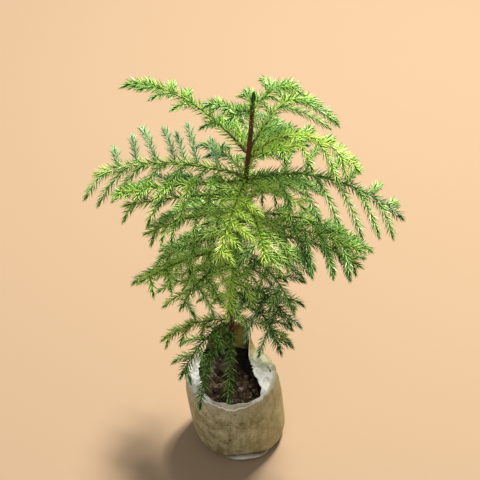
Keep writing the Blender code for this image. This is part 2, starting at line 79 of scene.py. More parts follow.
# %% Colours, camera, floor and light
def linear(code):
    """An sRGB hex colour as the linear values that Blender works with."""
    channels = [int(code[start:start + 2], 16) / 255.0 for start in (1, 3, 5)]
    return tuple(c / 12.92 if c <= 0.04045 else ((c + 0.055) / 1.055) ** 2.4 for c in channels) + (1.0,)


def add_node(tree, kind, inputs=None, stops=(), **settings):
    """Adds one node: its settings, the stops of its ramp, and its inputs: a value, or the node that feeds it."""
    node = tree.nodes.new(kind)
    for key, value in settings.items():
        setattr(node, key, value)
    if stops:
        ramp = node.color_ramp.elements
        ramp[0].position, ramp[1].position = stops[0][0], stops[-1][0]
        for position, code in stops[1:-1]:
            ramp.new(position)
        for element, (position, code) in zip(ramp, stops):
            element.color = linear(code)
    for key, value in (inputs or {}).items():
        if isinstance(value, bpy.types.Node):
            value = value.outputs[0]
        if isinstance(value, bpy.types.NodeSocket):
            tree.links.new(value, node.inputs[key])
        else:
            node.inputs[key].default_value = value
    return node


def new_finish(name, color, roughness, ior=1.5):
    """A finish with its even values straight on the shader: returns the material, its tree and its shader."""
    material = bpy.data.materials.new(name)
    material.use_nodes = True
    material.diffuse_color = linear(color)
    tree = material.node_tree
    shader = tree.nodes["Principled BSDF"]
    shader.inputs["Base Color"].default_value = linear(color)
    shader.inputs["Roughness"].default_value = roughness
    shader.inputs["IOR"].default_value = ior
    return material, tree, shader


def add_panel(name, place, target, size, power, color):
    """A square soft panel at a place, facing a target."""
    light = bpy.data.lights.new(name, "AREA")
    light.size = size
    light.energy = power
    light.color = linear(color)[:3]
    panel = bpy.data.objects.new(name, light)
    bpy.context.scene.collection.objects.link(panel)
    panel.location = place
    panel.rotation_euler = (Vector(target) - Vector(place)).to_track_quat("-Z", "Y").to_euler()


CAMERA_PLACE, LOOK_DOWN = (0.00102, -1.10657, 1.21767), math.radians(41.0)
MIDDLE = (0.0, 0.0, 0.2)

scene = bpy.context.scene
scene.view_settings.view_transform = "Standard"

lens = bpy.data.cameras.new("studio_camera")
lens.lens = 120.0
lens.sensor_width = 36.0
camera = bpy.data.objects.new("studio_camera", lens)
scene.collection.objects.link(camera)
camera.location = CAMERA_PLACE
camera.rotation_euler = (math.pi / 2.0 - LOOK_DOWN, 0.0, 0.0)
scene.camera = camera

add_panel("back_panel", (0.45, 0.95, 2.1), MIDDLE, 0.4, 110.0, "#FFF8EC")
add_panel("front_panel", (-0.9, -1.6, 1.3), MIDDLE, 1.4, 9.0, "#FFFFFF")

world = bpy.data.worlds.new("pale_sky")
world.use_nodes = True
world.node_tree.nodes["Background"].inputs["Color"].default_value = linear("#F4F3EE")
world.node_tree.nodes["Background"].inputs["Strength"].default_value = 0.36
scene.world = world

bpy.ops.mesh.primitive_plane_add(size=8.0)
floor = bpy.context.object
floor.name = "studio_floor"
floor_finish = new_finish("matt_sand_coloured_paper", "#A38B71", 0.9)[0]
floor.data.materials.append(floor_finish)
floor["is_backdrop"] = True
print("camera", tuple(round(v, 3) for v in camera.location))

# %% [markdown]
# ## The rule of the boughs
# A norfolk pine grows by one rule, over and over: a whorl of boughs at every height where the leader has
# rested, each bough a shallow arch that rises, then droops, and on it side shoots left and right in turn.
# The solids were grown from that rule with a seeded draw. The rule is written again here with the same
# table and the same draws, so every real shoot lies in its own solid, and finer twigs can go on from there.


# %% Boughs and their side shoots
SEAT_GAP = 0.3 * MM
SOIL_LEVEL = 69.0 * MM
TRUNK_TOP = 411.0 * MM
FOOT_X, LEAN = -7.2 * MM, 21.0 * MM
LEAN_FROM, LEAN_TO = 125.0 * MM, 470.0 * MM
FOOT_RADIUS, TOP_RADIUS = 3.1 * MM, 1.9 * MM
FLARE_RADIUS, FLARE_HEIGHT = 1.6 * MM, 9.0 * MM
LIMB_SLIMNESS, LIMB_LEAST_RADIUS, LIMB_TAPER = 0.013, 0.75 * MM, 0.72
SEED = 7
SHOOT_SPACING = 20.0 * MM
SHOOTS_FROM, SHOOTS_TO = 0.12, 0.94
SHOOT_ANGLE, SHOOT_CLOSING = 74.0, 22.0
YOUNG_HEIGHT = 320.0 * MM
YOUNG_SINK, OLD_SINK = 0.46, 0.66

Bough = namedtuple("Bough", "name height azimuth reach rise droop sweep spread tilt lift")
BOUGH_ROWS = (
    ("whorl1_back_right", 404, 46, 52, 0.80, 0.90, -4, 0.34, -0.2, 0.2),
    ("whorl1_left", 399, 180, 37, 0.50, 0.30, -8, 0.38, 0.3, 0.3),
    ("whorl1_front_left", 403, 214, 25, 0.60, 0.66, 4, 0.32, 0.2, 0.4),
    ("whorl1_back_left", 406, 112, 20, 0.56, 0.60, -10, 0.38, -0.1, 0.4),
    ("whorl2_left", 358, 152, 114, 0.94, 0.62, 2, 0.26, 0.4, 0.3),
    ("whorl2_right", 355, 16, 96, 0.80, 1.08, -10, 0.36, 0.0, 0.0),
    ("whorl2_back_right", 361, 52, 108, 0.84, 1.04, 4, 0.42, 0.2, 0.2),
    ("whorl2_back_left", 361, 116, 56, 0.44, 0.60, -4, 0.34, 0.3, 0.4),
    ("whorl2_front_right", 353, 340, 41, 0.66, 0.28, 12, 0.38, -0.1, 0.6),
    ("whorl3_left", 331, 178, 136, 0.38, 0.54, -10, 0.34, -0.3, 0.4),
    ("whorl3_right", 327, 6, 140, 0.28, 0.66, -2, 0.34, 0.2, 0.2),
    ("whorl3_back_left", 335, 134, 56, 0.32, 0.42, -6, 0.38, 0.3, 0.3),
    ("whorl3_back", 334, 72, 104, 0.34, 0.56, 0, 0.40, 0.2, 0.5),
    ("whorl3_front_left", 325, 198, 114, 0.22, 0.20, -8, 0.30, 0.4, 0.4),
    ("whorl3_front_right", 323, 338, 54, 0.24, 0.52, 2, 0.40, 0.2, 0.3),
    ("whorl3_front", 326, 256, 76, 0.22, 0.60, -4, 0.40, 0.0, 0.6),
    ("whorl4_left", 310, 202, 104, 0.34, 0.32, -12, 0.34, -0.2, 0.6),
    ("whorl4_front_left", 290, 205, 87, 0.38, 0.36, -4, 0.34, 0.2, 0.4),
    ("whorl4_right", 286, 2, 107, 0.14, 0.46, -4, 0.42, -0.1, 0.1),
    ("whorl4_front_right", 279, 346, 112, 0.14, 0.20, -4, 0.40, -0.1, 0.1),
    ("whorl4_back", 294, 62, 112, 0.20, 0.70, -2, 0.42, -0.2, 0.4),
    ("whorl4_front", 301, 292, 75, 0.36, 0.42, -8, 0.42, -0.1, 0.0),
    ("whorl5_left", 266, 208, 73, 0.30, 0.36, -4, 0.42, 0.1, 0.2),
    ("whorl5_right", 261, 347, 110, 0.36, 0.46, -2, 0.36, -0.1, 0.6),
    ("whorl5_front_left", 248, 208, 104, 0.24, 0.12, 8, 0.32, 0.3, 0.1),
    ("whorl5_front_right", 240, 324, 76, 0.28, 0.52, -14, 0.32, 0.2, 0.4),
    ("whorl5_back", 249, 118, 112, 0.30, 0.58, -6, 0.42, -0.1, 0.3),
    ("whorl5_front", 255, 263, 74, 0.22, 0.54, 0, 0.32, -0.2, 0.2),
    ("whorl6_front_left", 229, 226, 88, 0.50, 0.34, 12, 0.40, 0.1, 0.3),
    ("whorl6_right", 202, 326, 80, 0.42, 0.32, -18, 0.30, -0.1, 0.2),
    ("whorl6_front_right", 193, 311, 80, 0.36, 0.50, -10, 0.30, 0.3, 0.1),
    ("whorl6_back_right", 205, 37, 88, 0.46, 0.72, 4, 0.42, 0.0, 0.4),
    ("whorl6_back_left", 217, 140, 91, 0.22, 0.55, -6, 0.42, -0.4, 0.2),
    ("whorl7_left", 155, 190, 63, 0.30, 0.58, -2, 0.36, 0.4, 0.1),
    ("whorl7_front_left", 151, 226, 76, 0.40, 0.50, 8, 0.28, 0.0, 0.3),
    ("whorl7_front_long", 143, 244, 100, 0.46, 0.50, 10, 0.00, 0.0, 0.3),
    ("whorl7_front", 140, 268, 71, 0.16, 0.42, 0, 0.00, 0.0, 0.3),
    ("whorl7_right", 157, 348, 53, 0.16, 0.54, 0, 0.26, -0.2, 0.4),
    ("whorl7_back_left", 166, 138, 61, 0.38, 0.38, -8, 0.26, 0.0, 0.4),
    ("whorl7_back", 154, 62, 58, 0.26, 0.60, 2, 0.34, -0.2, 0.4),
)


def smooth_step(value):
    """Runs from 0 to 1 with no corner at either end."""
    value = min(max(value, 0.0), 1.0)
    return value * value * (3.0 - 2.0 * value)


def trunk_axis(height):
    """The middle of the trunk at a height."""
    share = smooth_step((height - LEAN_FROM) / (LEAN_TO - LEAN_FROM))
    return Vector((FOOT_X + LEAN * share, 0.0, height))


def trunk_radius(height):
    """The trunk's taper, with the root flare just above the soil."""
    share = (height - SOIL_LEVEL) / (TRUNK_TOP - SOIL_LEVEL)
    flare = FLARE_RADIUS * math.exp(-(height - SOIL_LEVEL) / FLARE_HEIGHT)
    return FOOT_RADIUS + (TOP_RADIUS - FOOT_RADIUS) * share + flare


def bough_radius(bough, share):
    """The bough's taper from the trunk to its tip."""
    thick = max(LIMB_SLIMNESS * bough.reach, LIMB_LEAST_RADIUS)
    return thick * (1.0 - LIMB_TAPER * share)


def root_out(bough):
    """How far from the trunk's middle a bough's solid begins."""
    slant = bough.rise / math.hypot(1.0, bough.rise)
    return trunk_radius(bough.height) + SEAT_GAP + bough_radius(bough, 0.0) * slant


def bough_point(bough, share):
    """The point at a share of the bough's reach: out from the trunk, up by its rise and down by its droop."""
    angle = math.radians(bough.azimuth + bough.sweep * share)
    out = root_out(bough) + bough.reach * share
    lift = bough.reach * (bough.rise * share - bough.droop * share * share)
    return trunk_axis(bough.height) + Vector((out * math.cos(angle), out * math.sin(angle), lift))


def bough_direction(bough, share):
    """The bough's direction at a share of its reach."""
    step = 0.01
    return (bough_point(bough, share + step) - bough_point(bough, share - step)).normalized()


Shoot = namedtuple("Shoot", "root direction length lift sink side share")


def shoot_size(share):
    """Length of a side shoot, as a share of the longest."""
    return min(0.45 + 1.4 * share, 1.5 * (1.0 - share) + 0.4, 1.0)


def side_shoots(bough):
    """The side shoots of one bough, left and right in turn, by the same draws as the solids."""
    draw = random.Random(f"{SEED}-{bough.name}")
    sink = YOUNG_SINK if bough.height > YOUNG_HEIGHT else OLD_SINK
    count = 2 * max(2, round(bough.reach * (SHOOTS_TO - SHOOTS_FROM) / SHOOT_SPACING))
    shoots = []
    for index in range(count):
        side = 1.0 if index % 2 else -1.0
        place = (index + 0.5 + draw.uniform(-0.25, 0.25)) / count
        share = SHOOTS_FROM + (SHOOTS_TO - SHOOTS_FROM) * place
        length = bough.spread * bough.reach * shoot_size(share) * draw.uniform(0.88, 1.08)
        angle = math.radians(SHOOT_ANGLE - SHOOT_CLOSING * share + draw.uniform(-5.0, 5.0))
        lift = bough.lift + side * bough.tilt + draw.uniform(-0.06, 0.06)
        along = bough_direction(bough, share)
        across = UP.cross(along).normalized() * side
        direction = along * math.cos(angle) + across * math.sin(angle)
        shoots.append(Shoot(bough_point(bough, share), direction, length, lift, sink, side, share))
    return shoots


def shoot_point(shoot, share):
    """The point at a share of a side shoot's length."""
    rise = shoot.length * (shoot.lift * share - shoot.sink * share * share)
    return shoot.root + shoot.direction * (shoot.length * share) + UP * rise


boughs = []
for row in BOUGH_ROWS:
    bough = Bough(*row)
    boughs.append(bough._replace(height=bough.height * MM, reach=bough.reach * MM))
print("boughs", len(boughs), "side shoots", sum(len(side_shoots(bough)) for bough in boughs))

# %% [markdown]
# ## Finer twigs
# The solids have every second side shoot. On the plant the others stand between them, about as long. None
# of them forks again: an araucaria seedling has only this one order of side shoots, so each is a straight
# feather. The added ones are drawn with a second seed, and are never longer than their neighbours, so that
# the crown keeps its reach.
# Every shoot becomes one line: its points, the thickness of its stem at each, and the tone of its needles.

# %% Lines of all the shoots
FINE_SEED = 23
LEAST_TWIG = 7.0 * MM
SIDE_RADIUS, TWIG_RADIUS = 0.62 * MM, 0.42 * MM
TIP_SHARE = 0.5

# How the needles of a bough look: the tone of its stem, of its side shoots on the left and on the right
# (left as seen from the trunk), and how many finer twigs it carries.
# The tones are partly painted light: lighter tones go on boughs where light falls, and the deep tone on boughs that
# lie in shade.
TONES = {
    "whorl1": ("mid", "mid", "fresh", 0.5),
    "whorl2_left": ("fresh", "mid", "mid", 0.1),
    "whorl2_right": ("lime", "mid", "fresh", 0.4),
    "whorl2_back": ("fresh", "mid", "mid", 0.3),
    "whorl2_front": ("lime", "lime", "fresh", 0.5),
    "whorl3_left": ("fresh", "mid", "blue", 0.1),
    "whorl3_right": ("deep", "mid", "mid", 0.1),
    "whorl3_back": ("mid", "blue", "mid", 0.5),
    "whorl3_front_left": ("fresh", "fresh", "mid", 0.1),
    "whorl3_front": ("lime", "lime", "fresh", 0.9),
    "whorl4_front_right": ("fresh", "mid", "mid", 0.0),
    "whorl4_front_left": ("fresh", "fresh", "mid", 0.3),
    "whorl4_front": ("lime", "fresh", "mid", 0.8),
    "whorl4_left": ("fresh", "fresh", "blue", 0.0),
    "whorl4": ("fresh", "mid", "mid", 0.2),
    "whorl5_left": ("fresh", "fresh", "mid", 0.0),
    "whorl5_front_left": ("lime", "fresh", "mid", 0.0),
    "whorl5_front": ("lime", "fresh", "lime", 0.8),
    "whorl5_front_right": ("mid", "deep", "mid", 0.1),
    "whorl5_right": ("fresh", "mid", "deep", 0.1),
    "whorl5": ("mid", "mid", "fresh", 0.3),
    "whorl6_front_left": ("fresh", "mid", "fresh", 0.2),
    "whorl6_right": ("deep", "blue", "deep", 0.3),
    "whorl6_front_right": ("deep", "deep", "blue", 0.3),
    "whorl6": ("deep", "mid", "deep", 0.3),
    "whorl7": ("olive", "olive", "mid", 0.0),
    "whorl7_front": ("deep", "mid", "mid", 0.0),
}

Line = namedtuple("Line", "mass kind points radii tone")


def tones_of(name):
    """The row of tones whose name fits the bough best."""
    fitting = [key for key in TONES if name.startswith(key)]
    return TONES[max(fitting, key=len)]


def shoot_line(mass, kind, shoot, radius, tone, steps):
    """One side shoot or twig as a line."""
    points = [shoot_point(shoot, step / steps) for step in range(steps + 1)]
    radii = [radius * (1.0 - (1.0 - TIP_SHARE) * step / steps) for step in range(steps + 1)]
    return Line(mass, kind, points, radii, tone)


def between_shoots(bough, shoots, fullness, draw):
    """The side shoots between those of the solids, on both sides of a bough."""
    grown = []
    for before, after in zip(shoots, shoots[2:]):
        if draw.random() > fullness:
            continue
        share = (before.share + after.share) / 2.0 + draw.uniform(-0.01, 0.01)
        length = (before.length + after.length) / 2.0 * draw.uniform(0.72, 0.98)
        direction = (before.direction + after.direction).normalized()
        root = bough_point(bough, share)
        grown.append(before._replace(root=root, direction=direction, length=length, share=share))
    return grown


def lines_of(bough):
    """All the lines of one bough: its stem, its side shoots and its finer twigs."""
    stem_tone, left_tone, right_tone, fullness = tones_of(bough.name)
    draw = random.Random(f"{FINE_SEED}-{bough.name}")
    steps = max(8, round(bough.reach / (4.0 * MM)))
    points = [bough_point(bough, step / steps) for step in range(steps + 1)]
    radii = [bough_radius(bough, step / steps) for step in range(steps + 1)]
    lines = [Line(bough.name, "bough", points, radii, stem_tone)]
    if not bough.spread:
        return lines
    shoots = side_shoots(bough)
    for shoot in shoots:
        tone = left_tone if shoot.side > 0.0 else right_tone
        if shoot.length >= LEAST_TWIG:
            lines.append(shoot_line(bough.name, "side", shoot, SIDE_RADIUS, tone, 9))
    for shoot in between_shoots(bough, shoots, fullness, draw):
        tone = left_tone if shoot.side > 0.0 else right_tone
        if shoot.length >= LEAST_TWIG:
            lines.append(shoot_line(bough.name, "twig", shoot, TWIG_RADIUS, tone, 6))
    return lines


lines = [line for bough in boughs for line in lines_of(bough)]


def length_of(line):
    """How long a line is along its bends."""
    return sum((b - a).length for a, b in zip(line.points, line.points[1:]))


for kind in ("bough", "side", "twig"):
    chosen = [length_of(line) for line in lines if line.kind == kind]
    print(kind, "lines", len(chosen), "metres in all", round(sum(chosen), 2))

# %% [markdown]
# ## Bark on the trunk and the boughs
# A young leader is still wrapped in the bases of its old needles: low diamond-shaped cushions in crossing
# spirals, with fine cracks between them. A bump alone wouldn't show at the edge of the stem, so the relief
# is in the mesh: a tube whose radius follows two crossing spirals and some noise. The bark is reddish brown
# low down and again near the top, and green where the young growth is.

# %% Bark relief
RELIEF = 0.16
CUSHION = 2.6 * MM
TRUNK_SIDES, TRUNK_STEP, TRUNK_SUNK = 28, 1.0 * MM, 3.0 * MM
LIMB_SIDES, LIMB_STEP = 10, 1.4 * MM
COLLAR, COLLAR_REACH = 0.35, 3.0 * MM


def relief_at(along, angle, turns):
    """The height of the needle cushions on a stem, from about -1 to 1."""
    first = math.cos(math.tau * along / CUSHION + turns[0] * angle)
    second = math.cos(math.tau * along / CUSHION - turns[1] * angle)
    crack = noise.noise(Vector((math.cos(angle), math.sin(angle), along / (1.3 * MM))) * 2.2)
    return 0.55 * first * second + 0.6 * crack


def frames_along(points):
    """Two directions across a line at each of its points, carried along it without a twist."""
    frames = []
    across = None
    for index, point in enumerate(points):
        after = points[min(index + 1, len(points) - 1)]
        before = points[max(index - 1, 0)]
        along = (after - before).normalized()
        if across is None:
            across = along.orthogonal().normalized()
        across = (across - along * across.dot(along)).normalized()
        frames.append((across, along.cross(across)))
    return frames


def resampled(points, radii, step):
    """The same line with points about a step apart."""
    new_points, new_radii = [], []
    for index in range(len(points) - 1):
        parts = max(1, round((points[index + 1] - points[index]).length / step))
        for part in range(parts):
            share = part / parts
            new_points.append(points[index].lerp(points[index + 1], share))
            new_radii.append(radii[index] + (radii[index + 1] - radii[index]) * share)
    return new_points + [points[-1]], new_radii + [radii[-1]]


def join_rings(mesh, rings):
    """Faces between closed rings of points, each ring above the last."""
    for low, high in zip(rings, rings[1:]):
        for side in range(len(low)):
            after = (side + 1) % len(low)
            mesh.faces.new((low[side], low[after], high[after], high[side]))


def bark_tube(mesh, points, radii, sides, turns):
    """Adds a closed tube with bark relief to a bmesh."""
    rings = []
    travelled = 0.0
    frames = frames_along(points)
    for index, (point, radius) in enumerate(zip(points, radii)):
        travelled += (point - points[index - 1]).length if index else 0.0
        across, other = frames[index]
        ring = []
        for side in range(sides):
            angle = math.tau * side / sides
            out = radius * (1.0 + RELIEF * relief_at(travelled, angle, turns))
            ring.append(mesh.verts.new(point + (across * math.cos(angle) + other * math.sin(angle)) * out))
        rings.append(ring)
    join_rings(mesh, rings)
    mesh.faces.new(reversed(rings[0]))
    mesh.faces.new(rings[-1])


def plain_mesh(name, mesh):
    """The mesh that a bmesh holds. The bmesh goes."""
    data = bpy.data.meshes.new(name)
    mesh.to_mesh(data)
    mesh.free()
    return data


def mesh_from(name, mesh):
    """A finished mesh from a bmesh, with smooth faces that point outwards."""
    bmesh.ops.recalc_face_normals(mesh, faces=mesh.faces[:])
    data = plain_mesh(name, mesh)
    data.shade_smooth()
    return data


def count_triangles(data):
    """How many triangles a mesh has."""
    return sum(len(face.vertices) - 2 for face in data.polygons)


def add_piece(data, material, replaced):
    """Links a mesh as a piece of the plant, on its body, in place of its nodes."""
    piece = bpy.data.objects.new(data.name, data)
    scene.collection.objects.link(piece)
    if material is not None:
        data.materials.clear()
        data.materials.append(material)
    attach(piece, BODY)
    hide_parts(*replaced)
    print(piece.name, count_triangles(data), "triangles, for", len(replaced), "nodes")
    return piece


def bark_finish(name, stops, low, high, roughness):
    """Living bark, rough and matt: its colour follows the height, broken up by 2 mm patches and fine cracks."""
    material, tree, shader = new_finish(name, stops[0][1], roughness, 1.45)
    add = partial(add_node, tree)
    place = add("ShaderNodeTexCoord").outputs["Object"]
    height = add("ShaderNodeSeparateXYZ", {0: place}).outputs["Z"]
    share = add("ShaderNodeMapRange", {0: height, 1: low, 2: high})
    ramp = add("ShaderNodeValToRGB", {0: share}, stops)
    patches = add("ShaderNodeTexNoise", {0: place, "Scale": 420.0, "Detail": 4.0})
    dark = add("ShaderNodeMapRange", {0: patches, 1: 0.35, 2: 0.65, 3: 0.55, 4: 1.25})
    color = add("ShaderNodeVectorMath", {0: ramp, "Scale": dark}, operation="SCALE")
    tree.links.new(color.outputs[0], shader.inputs["Base Color"])
    fine = add("ShaderNodeTexNoise", {0: place, "Scale": 1500.0, "Detail": 3.0})
    bump = add("ShaderNodeBump", {"Strength": 0.5, "Distance": 0.0002, "Height": fine})
    tree.links.new(bump.outputs[0], shader.inputs["Normal"])
    return material


trunk_bark = bark_finish(
    "young_trunk_bark", ((0.0, "#4A3015"), (0.25, "#553012"), (0.34, "#4F6B22"), (0.74, "#4F6B22"),
                         (0.8, "#5A3414"), (0.96, "#5E3A18"), (1.0, "#4C6A24")), SOIL_LEVEL, TRUNK_TOP, 0.8)
bough_bark = bark_finish("green_bough_bark", ((0.0, "#56701F"), (0.72, "#5D7426"), (0.8, "#5B4A1E"),
                                              (1.0, "#56702A")), 0.1, 0.42, 0.7)

trunk_steps = round((TRUNK_TOP - SOIL_LEVEL + TRUNK_SUNK) / TRUNK_STEP)
heights = [SOIL_LEVEL - TRUNK_SUNK + TRUNK_STEP * step for step in range(trunk_steps + 1)]
mesh = bmesh.new()
bark_tube(mesh, [trunk_axis(height) for height in heights],
          [trunk_radius(max(height, SOIL_LEVEL)) for height in heights], TRUNK_SIDES, (3, 5))
add_piece(mesh_from("trunk_with_bark", mesh), trunk_bark, ["trunk"])

mesh = bmesh.new()
shares = [step / 30 for step in range(31)]
for bough in boughs:
    start = trunk_axis(bough.height) + (bough_point(bough, 0.0) - trunk_axis(bough.height)) * 0.3
    points = [start] + [bough_point(bough, share) for share in shares]
    radii = [1.5 * bough_radius(bough, 0.0)] + [
        bough_radius(bough, share) * (1.0 + COLLAR * math.exp(-share * bough.reach / COLLAR_REACH))
        for share in shares]
    points, radii = resampled(points, radii, LIMB_STEP)
    bark_tube(mesh, points, radii, LIMB_SIDES, (2, 3))
limb_nodes = [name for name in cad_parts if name.startswith("bough_")]
add_piece(mesh_from("boughs_with_bark", mesh), bough_bark, limb_nodes)

# %% [markdown]
# ## Twigs
# The stems of the side shoots are thin green rods that taper to their tips. A rod along a path is what
# Geometry Nodes do well: all the lines go into one curve, whose radius is the stem's own, and a small tree
# of nodes sweeps a ring along it and closes the ends.


# %% Twig stems by Geometry Nodes
def curve_from(name, chosen):
    """One curve object with a spline for each line. The radius of its points is the stem's."""
    data = bpy.data.curves.new(name, "CURVE")
    data.dimensions = "3D"
    for line in chosen:
        spline = data.splines.new("POLY")
        spline.points.add(len(line.points) - 1)
        for target, point, radius in zip(spline.points, line.points, line.radii):
            target.co = (*point, 1.0)
            target.radius = radius
    item = bpy.data.objects.new(name, data)
    scene.collection.objects.link(item)
    return item


def new_tree(name, sockets):
    """An empty tree of geometry nodes with its inputs, and its two end nodes."""
    tree = bpy.data.node_groups.new(name, "GeometryNodeTree")
    tree.interface.new_socket("Geometry", in_out="INPUT", socket_type="NodeSocketGeometry")
    for label, kind in sockets:
        tree.interface.new_socket(label, in_out="INPUT", socket_type=kind)
    tree.interface.new_socket("Geometry", in_out="OUTPUT", socket_type="NodeSocketGeometry")
    return tree, tree.nodes.new("NodeGroupInput").outputs, tree.nodes.new("NodeGroupOutput")


def grown_mesh(name, source, tree, values):
    """Runs a tree on an object and returns the result as a plain mesh. The source object goes."""
    modifier = source.modifiers.new("grow", "NODES")
    modifier.node_group = tree
    for socket in tree.interface.items_tree:
        if socket.in_out == "INPUT" and socket.name in values:
            modifier[socket.identifier] = values[socket.name]
    graph = bpy.context.evaluated_depsgraph_get()
    data = bpy.data.meshes.new_from_object(source.evaluated_get(graph), depsgraph=graph)
    data.name = name
    source.modifiers.clear()
    bpy.data.objects.remove(source, do_unlink=True)
    return data


stem_tree, given, end = new_tree("stems_along_lines", (
    ("Sides", "NodeSocketInt"), ("Material", "NodeSocketMaterial")))
add = partial(add_node, stem_tree)
ring = add("GeometryNodeCurvePrimitiveCircle", {"Resolution": given["Sides"], "Radius": 1.0})
sweep = add("GeometryNodeCurveToMesh", {"Curve": given["Geometry"], "Profile Curve": ring, "Fill Caps": True})
if "Scale" in sweep.inputs:
    stem_tree.links.new(add("GeometryNodeInputRadius").outputs[0], sweep.inputs["Scale"])
smooth = add("GeometryNodeSetShadeSmooth", {"Geometry": sweep})
painted = add("GeometryNodeSetMaterial", {"Geometry": smooth, "Material": given["Material"]})
whole = add("GeometryNodeRealizeInstances", {"Geometry": painted})
stem_tree.links.new(whole.outputs[0], end.inputs[0])

foliage_nodes = [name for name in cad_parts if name.startswith("foliage_")]
# Green twig bark: smooth and a little waxy, because it is this year's growth.
twig_skin = new_finish("green_twig_skin", "#5E7F2C", 0.6, 1.45)[0]
twig_lines = [line for line in lines if line.kind != "bough"]
data = grown_mesh("twig_stems", curve_from("twig_lines", twig_lines), stem_tree,
                  {"Sides": 5, "Material": twig_skin})
add_piece(data, None, foliage_nodes)

# %% [markdown]
# ## Needles
# A needle of a young plant is a four-sided awl, 8 to 10 mm long and about 1 mm wide, bent in towards the
# shoot's tip. Needles stand all round the shoot in a spiral, each turned by the golden angle from the last,
# and they lean forward by about 50 degrees; towards the tip they close up. One needle of 14 triangles is
# modelled, and Geometry Nodes set it along every line. Each tone of green is a piece of its own with one
# plain colour, and a share of every spray comes from a neighbouring tone, which gives the flecked look.
# The tones are partly painted light: lighter tones stand for needles in the light, and the deep tone and the
# darker share in most sprays are painted shade for needles in shade.

# %% One needle
NEEDLE_LENGTH, NEEDLE_WIDTH, NEEDLE_THICK, NEEDLE_BEND = 9.8, 1.0, 0.8, 1.1


def needle_object(name, length, width, thick, bend):
    """A four-sided awl in millimetre sizes that stands on the origin, points up Z and bends to -X."""
    mesh = bmesh.new()
    rings = []
    for share, size in ((0.0, 0.75), (0.42, 1.0)):
        middle = Vector((-bend * share * share, 0.0, length * share)) * MM
        corners = ((0.5 * thick, 0.0), (0.0, 0.5 * width), (-0.5 * thick, 0.0), (0.0, -0.5 * width))
        rings.append([mesh.verts.new(middle + Vector((x, y, 0.0)) * (size * MM)) for x, y in corners])
    tip = mesh.verts.new(Vector((-bend, 0.0, length)) * MM)
    for side in range(4):
        after = (side + 1) % 4
        mesh.faces.new((rings[0][side], rings[0][after], rings[1][after], rings[1][side]))
        mesh.faces.new((rings[1][side], rings[1][after], tip))
    mesh.faces.new(reversed(rings[0]))
    bmesh.ops.recalc_face_normals(mesh, faces=mesh.faces[:])
    return bpy.data.objects.new(name, plain_mesh(name, mesh))


needle = needle_object("awl_needle", NEEDLE_LENGTH, NEEDLE_WIDTH, NEEDLE_THICK, NEEDLE_BEND)
NEEDLE_TRIANGLES = count_triangles(needle.data)
print("needle triangles", NEEDLE_TRIANGLES)

# %% Needles along lines by Geometry Nodes
GOLDEN_ANGLE = math.radians(137.508)
SEAT_SHARE, SHORT_REACH = 0.7, 9.0 * MM

needle_tree, given, end = new_tree("needles_along_lines", (
    ("Needle", "NodeSocketObject"), ("Spacing", "NodeSocketFloat"), ("Lean", "NodeSocketFloat"),
    ("Tip Lean", "NodeSocketFloat"), ("Closing", "NodeSocketFloat"), ("Short", "NodeSocketFloat"),
    ("Size", "NodeSocketFloat"), ("Seed", "NodeSocketInt"), ("Material", "NodeSocketMaterial")))
add = partial(add_node, needle_tree)
travelled = add("GeometryNodeSplineParameter").outputs["Length"]
full = add("GeometryNodeSplineLength").outputs["Length"]
to_tip = add("ShaderNodeMath", {0: full, 1: travelled}, operation="SUBTRACT")
kept, fields = given["Geometry"], {}
for label, source in (("to_tip", to_tip), ("thick", add("GeometryNodeInputRadius"))):
    kept = add("GeometryNodeStoreNamedAttribute", {"Name": label, "Geometry": kept, "Value": source},
               data_type="FLOAT", domain="POINT")
    fields[label] = add("GeometryNodeInputNamedAttribute", {"Name": label}, data_type="FLOAT")
dots = add("GeometryNodeCurveToPoints", {"Curve": kept, "Length": given["Spacing"]}, mode="LENGTH").outputs

# Three random numbers for each needle: for its turn, its lean and its size.
draws = []
for offset, low, high in ((1.0, -0.2, 0.2), (2.0, -0.08, 0.08), (3.0, 0.88, 1.08)):
    seed = add("ShaderNodeMath", {0: given["Seed"], 1: offset}, operation="ADD")
    draws.append(add("FunctionNodeRandomValue", {"Seed": seed, 2: low, 3: high}, data_type="FLOAT").outputs[1])

# The way that each needle points: out from the shoot by its turn, and forward by its lean.
turn = add("ShaderNodeMath", {0: add("GeometryNodeInputIndex"), 1: GOLDEN_ANGLE}, operation="MULTIPLY")
turn = add("ShaderNodeMath", {0: turn, 1: draws[0]}, operation="ADD")
around = add("ShaderNodeVectorRotate", {"Vector": dots["Normal"], "Axis": dots["Tangent"], "Angle": turn},
             rotation_type="AXIS_ANGLE")
lean = add("ShaderNodeMapRange", {0: fields["to_tip"], 1: 0.0, 2: given["Closing"], 3: given["Tip Lean"],
                                  4: given["Lean"]})
lean = add("ShaderNodeMath", {0: lean, 1: draws[1]}, operation="ADD")
ahead, aside = (add("ShaderNodeMath", {0: lean}, operation=kind) for kind in ("COSINE", "SINE"))
forward = add("ShaderNodeVectorMath", {0: dots["Tangent"], "Scale": ahead}, operation="SCALE")
outward = add("ShaderNodeVectorMath", {0: around, "Scale": aside}, operation="SCALE")
pointing = add("ShaderNodeVectorMath", {0: forward, 1: outward}, operation="ADD")
turned = add("FunctionNodeAxesToRotation", {0: pointing, 1: around}, primary_axis="Z", secondary_axis="X")

